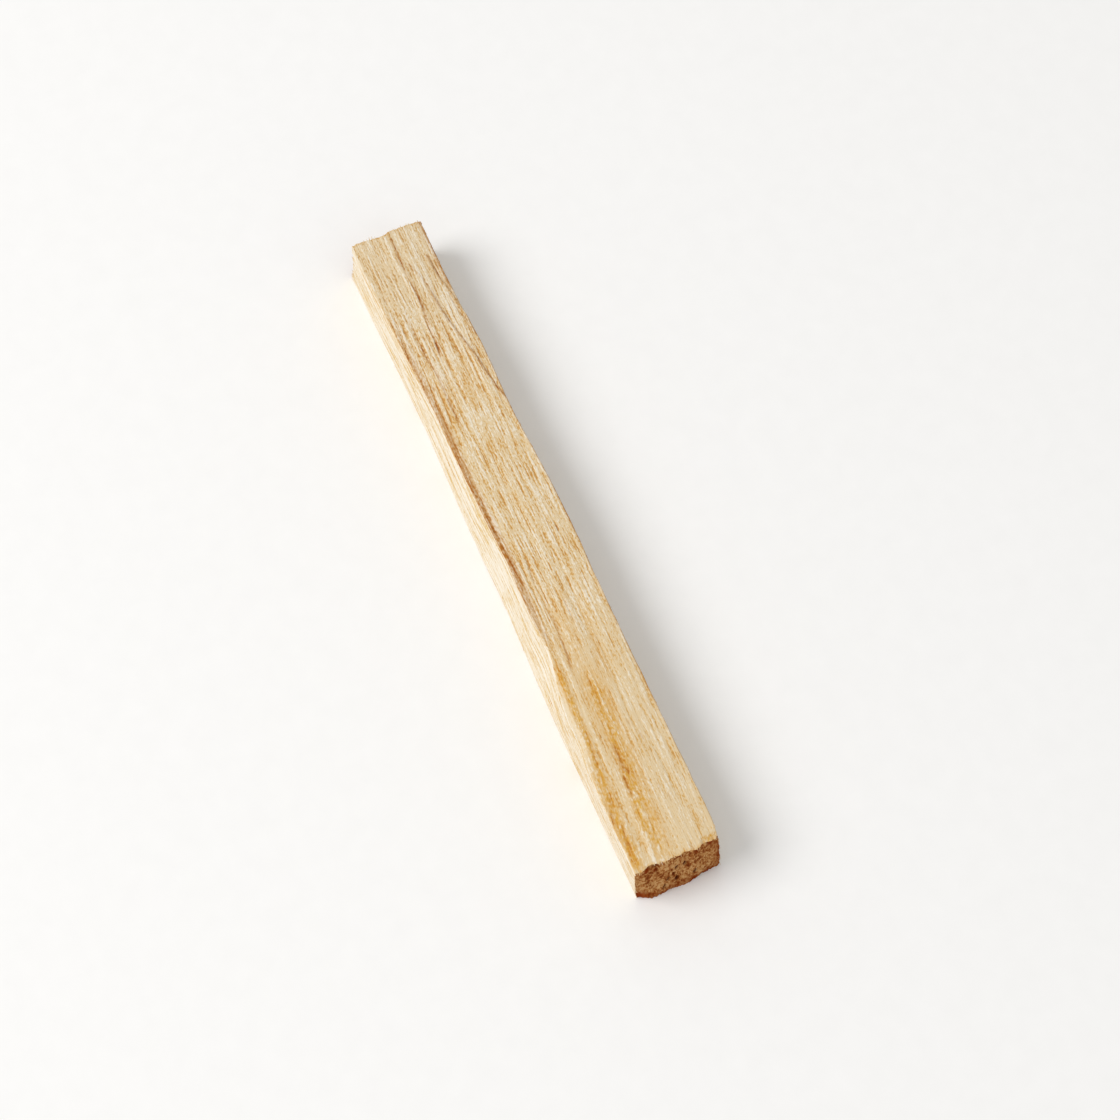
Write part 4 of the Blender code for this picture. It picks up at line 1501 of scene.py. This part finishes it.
@dataclass(frozen=True)
class EndGrainFinish:
    """Palo santo sawn across its grain: a brown, crumbly, thirsty surface with pale crumbs and dark pores,
    and painted shade in its pits and under its top rim.
    """

    pale: str = "CFA26C"
    middle: str = "B27A44"
    dark: str = "8A4818"
    umber: str = "6E300C"
    # dark brown painted into the pits and the break below the top rim, as the shade in them
    pore: str = "542008"
    foot: str = "8C3E10"
    # reddish spots at the foot and corner; those at the top rim and in one pit are painted shade
    red_and_shade: str = "863608"
    red_spots_and_shade: Spots = (
        (-5.7, 0.7, 1.9), (4.4, 7.2, 0.7), (2.4, 7.7, 0.7), (-4.4, 7.3, 0.6), (-3.2, 6.6, 0.5),
        (3.9, 0.1, 0.6), (2.0, 0.2, 0.8), (-0.9, 3.8, 0.25),
    )
    # pits painted dark, as the shade in them
    holes: Spots = (
        (2.1, 2.3, 0.36), (-0.4, 2.3, 0.36), (-0.4, 5.25, 0.3), (-1.6, 3.1, 0.32), (-2.2, 1.65, 0.34),
        (0.7, 5.25, 0.24),
    )
    rise: float = 0.6
    # Patterns, as length and width in mm, and their weights; the first weight, on the relief's height,
    # darkens its hollows as painted shade
    lump: Pair = (1.6, 1.6)
    crumb: Pair = (0.5, 0.45)
    grit: Pair = (0.35, 0.22)
    tone: float = 0.52
    weights: tuple[float, ...] = (0.9, 0.5, 1.2, 1.1)
    stops: tuple[float, ...] = (0.1, 0.3, 0.55, 0.85)
    # Reddish foot and right side
    foot_height: float = 1.8
    foot_share: float = 0.6
    right_band: Pair = (4.6, 5.9)
    right_share: float = 0.5
    roughness: float = 0.9
    specular: float = 0.05
    bump: float = 0.4
    bump_height: float = 0.06

    def material(self) -> Material:
        """Builds the material. Its crumbs and holes are taller than wide, as the cut fibres lean.

        Returns:
            The material.
        """
        # Cut fibre ends drink the light: a deep, flat brown with paler crumbs, and holes painted dark as the
        # shade in them so that they read as depth
        material = new_material("sawn end grain, bare")
        tree = material.node_tree
        place = add(tree, "ShaderNodeTexCoord").outputs["Object"]
        place = add(tree, VECTOR, {0: place, "Scale": 1 / MM}, operation="SCALE")
        hollow = add(tree, "ShaderNodeAttribute", attribute_name="hollow").outputs["Fac"]
        pit_and_rim_shade_share = add(tree, "ShaderNodeAttribute", attribute_name="brown").outputs["Fac"]
        drawn_out = add(tree, VECTOR, (place, (1.0, 1.0, self.rise)), operation="MULTIPLY")
        lumps = along_grain(tree, drawn_out, *self.lump, detail=0.0, seed=4.0)
        crumbs = along_grain(tree, drawn_out, *self.crumb, seed=6.0)
        grit = along_grain(tree, drawn_out, *self.grit, seed=9.0)
        # tone falls in the relief's hollows: painted shade
        tone = weighted(tree, self.tone, tuple(
            zip((hollow, lumps, crumbs, grit), self.weights, (0.0, MEAN, MEAN, MEAN))
        ))
        shades = map(linear, (self.umber, self.dark, self.middle, self.pale))
        colour = add(tree, "ShaderNodeValToRGB", {"Fac": tone}, stops=tuple(zip(self.stops, shades)))
        sides = add(tree, "ShaderNodeSeparateXYZ", {"Vector": place}).outputs
        near = add(tree, MATH, (sides["X"], 0.0), operation="GREATER_THAN")
        fades = [
            (sides["Z"], 0.0, self.foot_height, self.foot_share, 0.0, self.foot),
            (sides["Y"], *self.right_band, 0.0, self.right_share, self.foot),
        ]
        for blots, rise, stain in ((self.red_spots_and_shade, 1.0, self.red_and_shade), (self.holes, self.rise, self.pore)):
            flat = add(tree, VECTOR, (place, (0.0, 1.0, rise)), operation="MULTIPLY")
            for y, z, radius in blots:
                away = add(tree, VECTOR, (flat, (0.0, y, rise * z)), operation="DISTANCE")
                fades.append((away.outputs["Value"], radius / 3, radius, near, 0.0, stain))
        names = ("Value", "From Min", "From Max", "To Min", "To Max")
        stains = [(add(tree, "ShaderNodeMapRange", dict(zip(names, fade))), stain) for *fade, stain in fades]
        # the pits and the break below the rim, read from the mesh, painted dark as shade
        stains.insert(2, (pit_and_rim_shade_share, self.pore))
        for share, stain in stains:
            mixed = add(tree, "ShaderNodeMix", {0: share, 6: colour, 7: linear(stain)}, data_type="RGBA")
            colour = mixed.outputs[2]
        bump = add(
            tree, "ShaderNodeBump", {"Height": grit, "Strength": self.bump, "Distance": self.bump_height * MM}
        )
        shader = add(tree, "ShaderNodeBsdfPrincipled", {
            "Base Color": colour, "Roughness": self.roughness, "Specular IOR Level": self.specular,
            "Normal": bump,
        })
        add(tree, "ShaderNodeOutputMaterial", {"Surface": shader})
        return material


@dataclass(frozen=True)
class Studio:
    """Plain pale floor, soft light from the pale side and a camera at the photograph's angle."""

    floor_colour: str = "F4F3F1"
    fleck_colour: str = "F0EFED"
    fleck_scale: float = 900.0
    floor_roughness: float = 0.9
    floor_size: float = 3.0
    key_place: tuple[float, float, float] = (-0.25, -1.05, 1.05)
    key_size: float = 1.0
    key_power: float = 15.0
    sky: float = 0.64
    lens: float = 100.0
    sensor: float = 36.0
    clip: Pair = (0.01, 10.0)
    elevation: float = 62.0
    azimuth: float = 67.262
    camera_place: tuple[float, float, float] = (181.02, -70.93, 365.03)  # mm from the stick's origin

    def build(self) -> None:
        """Makes the floor, the lights and the camera."""
        scene = bpy.context.scene
        # Matt and almost white with the faintest fleck, so that the eye goes to the stick and its shadow
        paper = new_material("matt white paper")
        tree = paper.node_tree
        fleck = add(tree, "ShaderNodeTexNoise", {"Scale": self.fleck_scale})
        tints = tuple(zip((0.0, 1.0), map(linear, (self.fleck_colour, self.floor_colour))))
        tint = add(tree, "ShaderNodeValToRGB", {"Fac": fleck}, stops=tints)
        shader = add(
            tree, "ShaderNodeBsdfPrincipled", {"Base Color": tint, "Roughness": self.floor_roughness}
        )
        add(tree, "ShaderNodeOutputMaterial", {"Surface": shader})
        bpy.ops.mesh.primitive_plane_add(size=self.floor_size)
        floor = bpy.context.object
        floor.name = "floor"
        floor.data.materials.append(paper)
        light = bpy.data.lights.new("key", "AREA")
        light.shape, light.size, light.energy = "DISK", self.key_size, self.key_power
        key = new_object("key", light)
        key.location = self.key_place
        key.rotation_euler = (-Vector(self.key_place)).to_track_quat("-Z", "Y").to_euler()
        world = bpy.data.worlds.new("white room")
        world.use_nodes = True
        world.node_tree.nodes["Background"].inputs["Color"].default_value = (1, 1, 1, 1)
        world.node_tree.nodes["Background"].inputs["Strength"].default_value = self.sky
        scene.world = world
        scene.view_settings.view_transform = "Standard"
        data = bpy.data.cameras.new("camera")
        data.lens, data.sensor_width = self.lens, self.sensor
        data.clip_start, data.clip_end = self.clip
        camera = new_object("camera", data)
        camera.location = Vector(self.camera_place) * MM
        pitch, turn = math.radians(90 - self.elevation), math.radians(self.azimuth)
        camera.rotation_euler = Euler((pitch, 0, turn), "XYZ")
        scene.camera = camera


def main() -> None:
    """Builds the stick, its loose fibres and the studio, and reports the stick and its fibres."""
    logging.basicConfig(level=logging.INFO, format="%(name)s: %(message)s")
    long_grain = LongGrainFinish().material()
    end_grain = EndGrainFinish().material()
    relief = SplitRelief()
    form = StickForm()
    stick = StickGrid(form).build("split_stick", WoodFigure(form))
    shaped(stick, relief.tree(long_grain, end_grain), relief.values())
    stick.data.set_sharp_from_angle(angle=math.radians(SHARP_ANGLE))
    fibres = TornFibres()
    loose = new_object("torn_fibres", stick.data.copy())
    shaped(loose, fibres.tree(long_grain), fibres.values())
    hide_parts("stick")
    for piece in (stick, loose):
        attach(piece, "root")
    Studio().build()


if __name__ == "__main__":
    main()
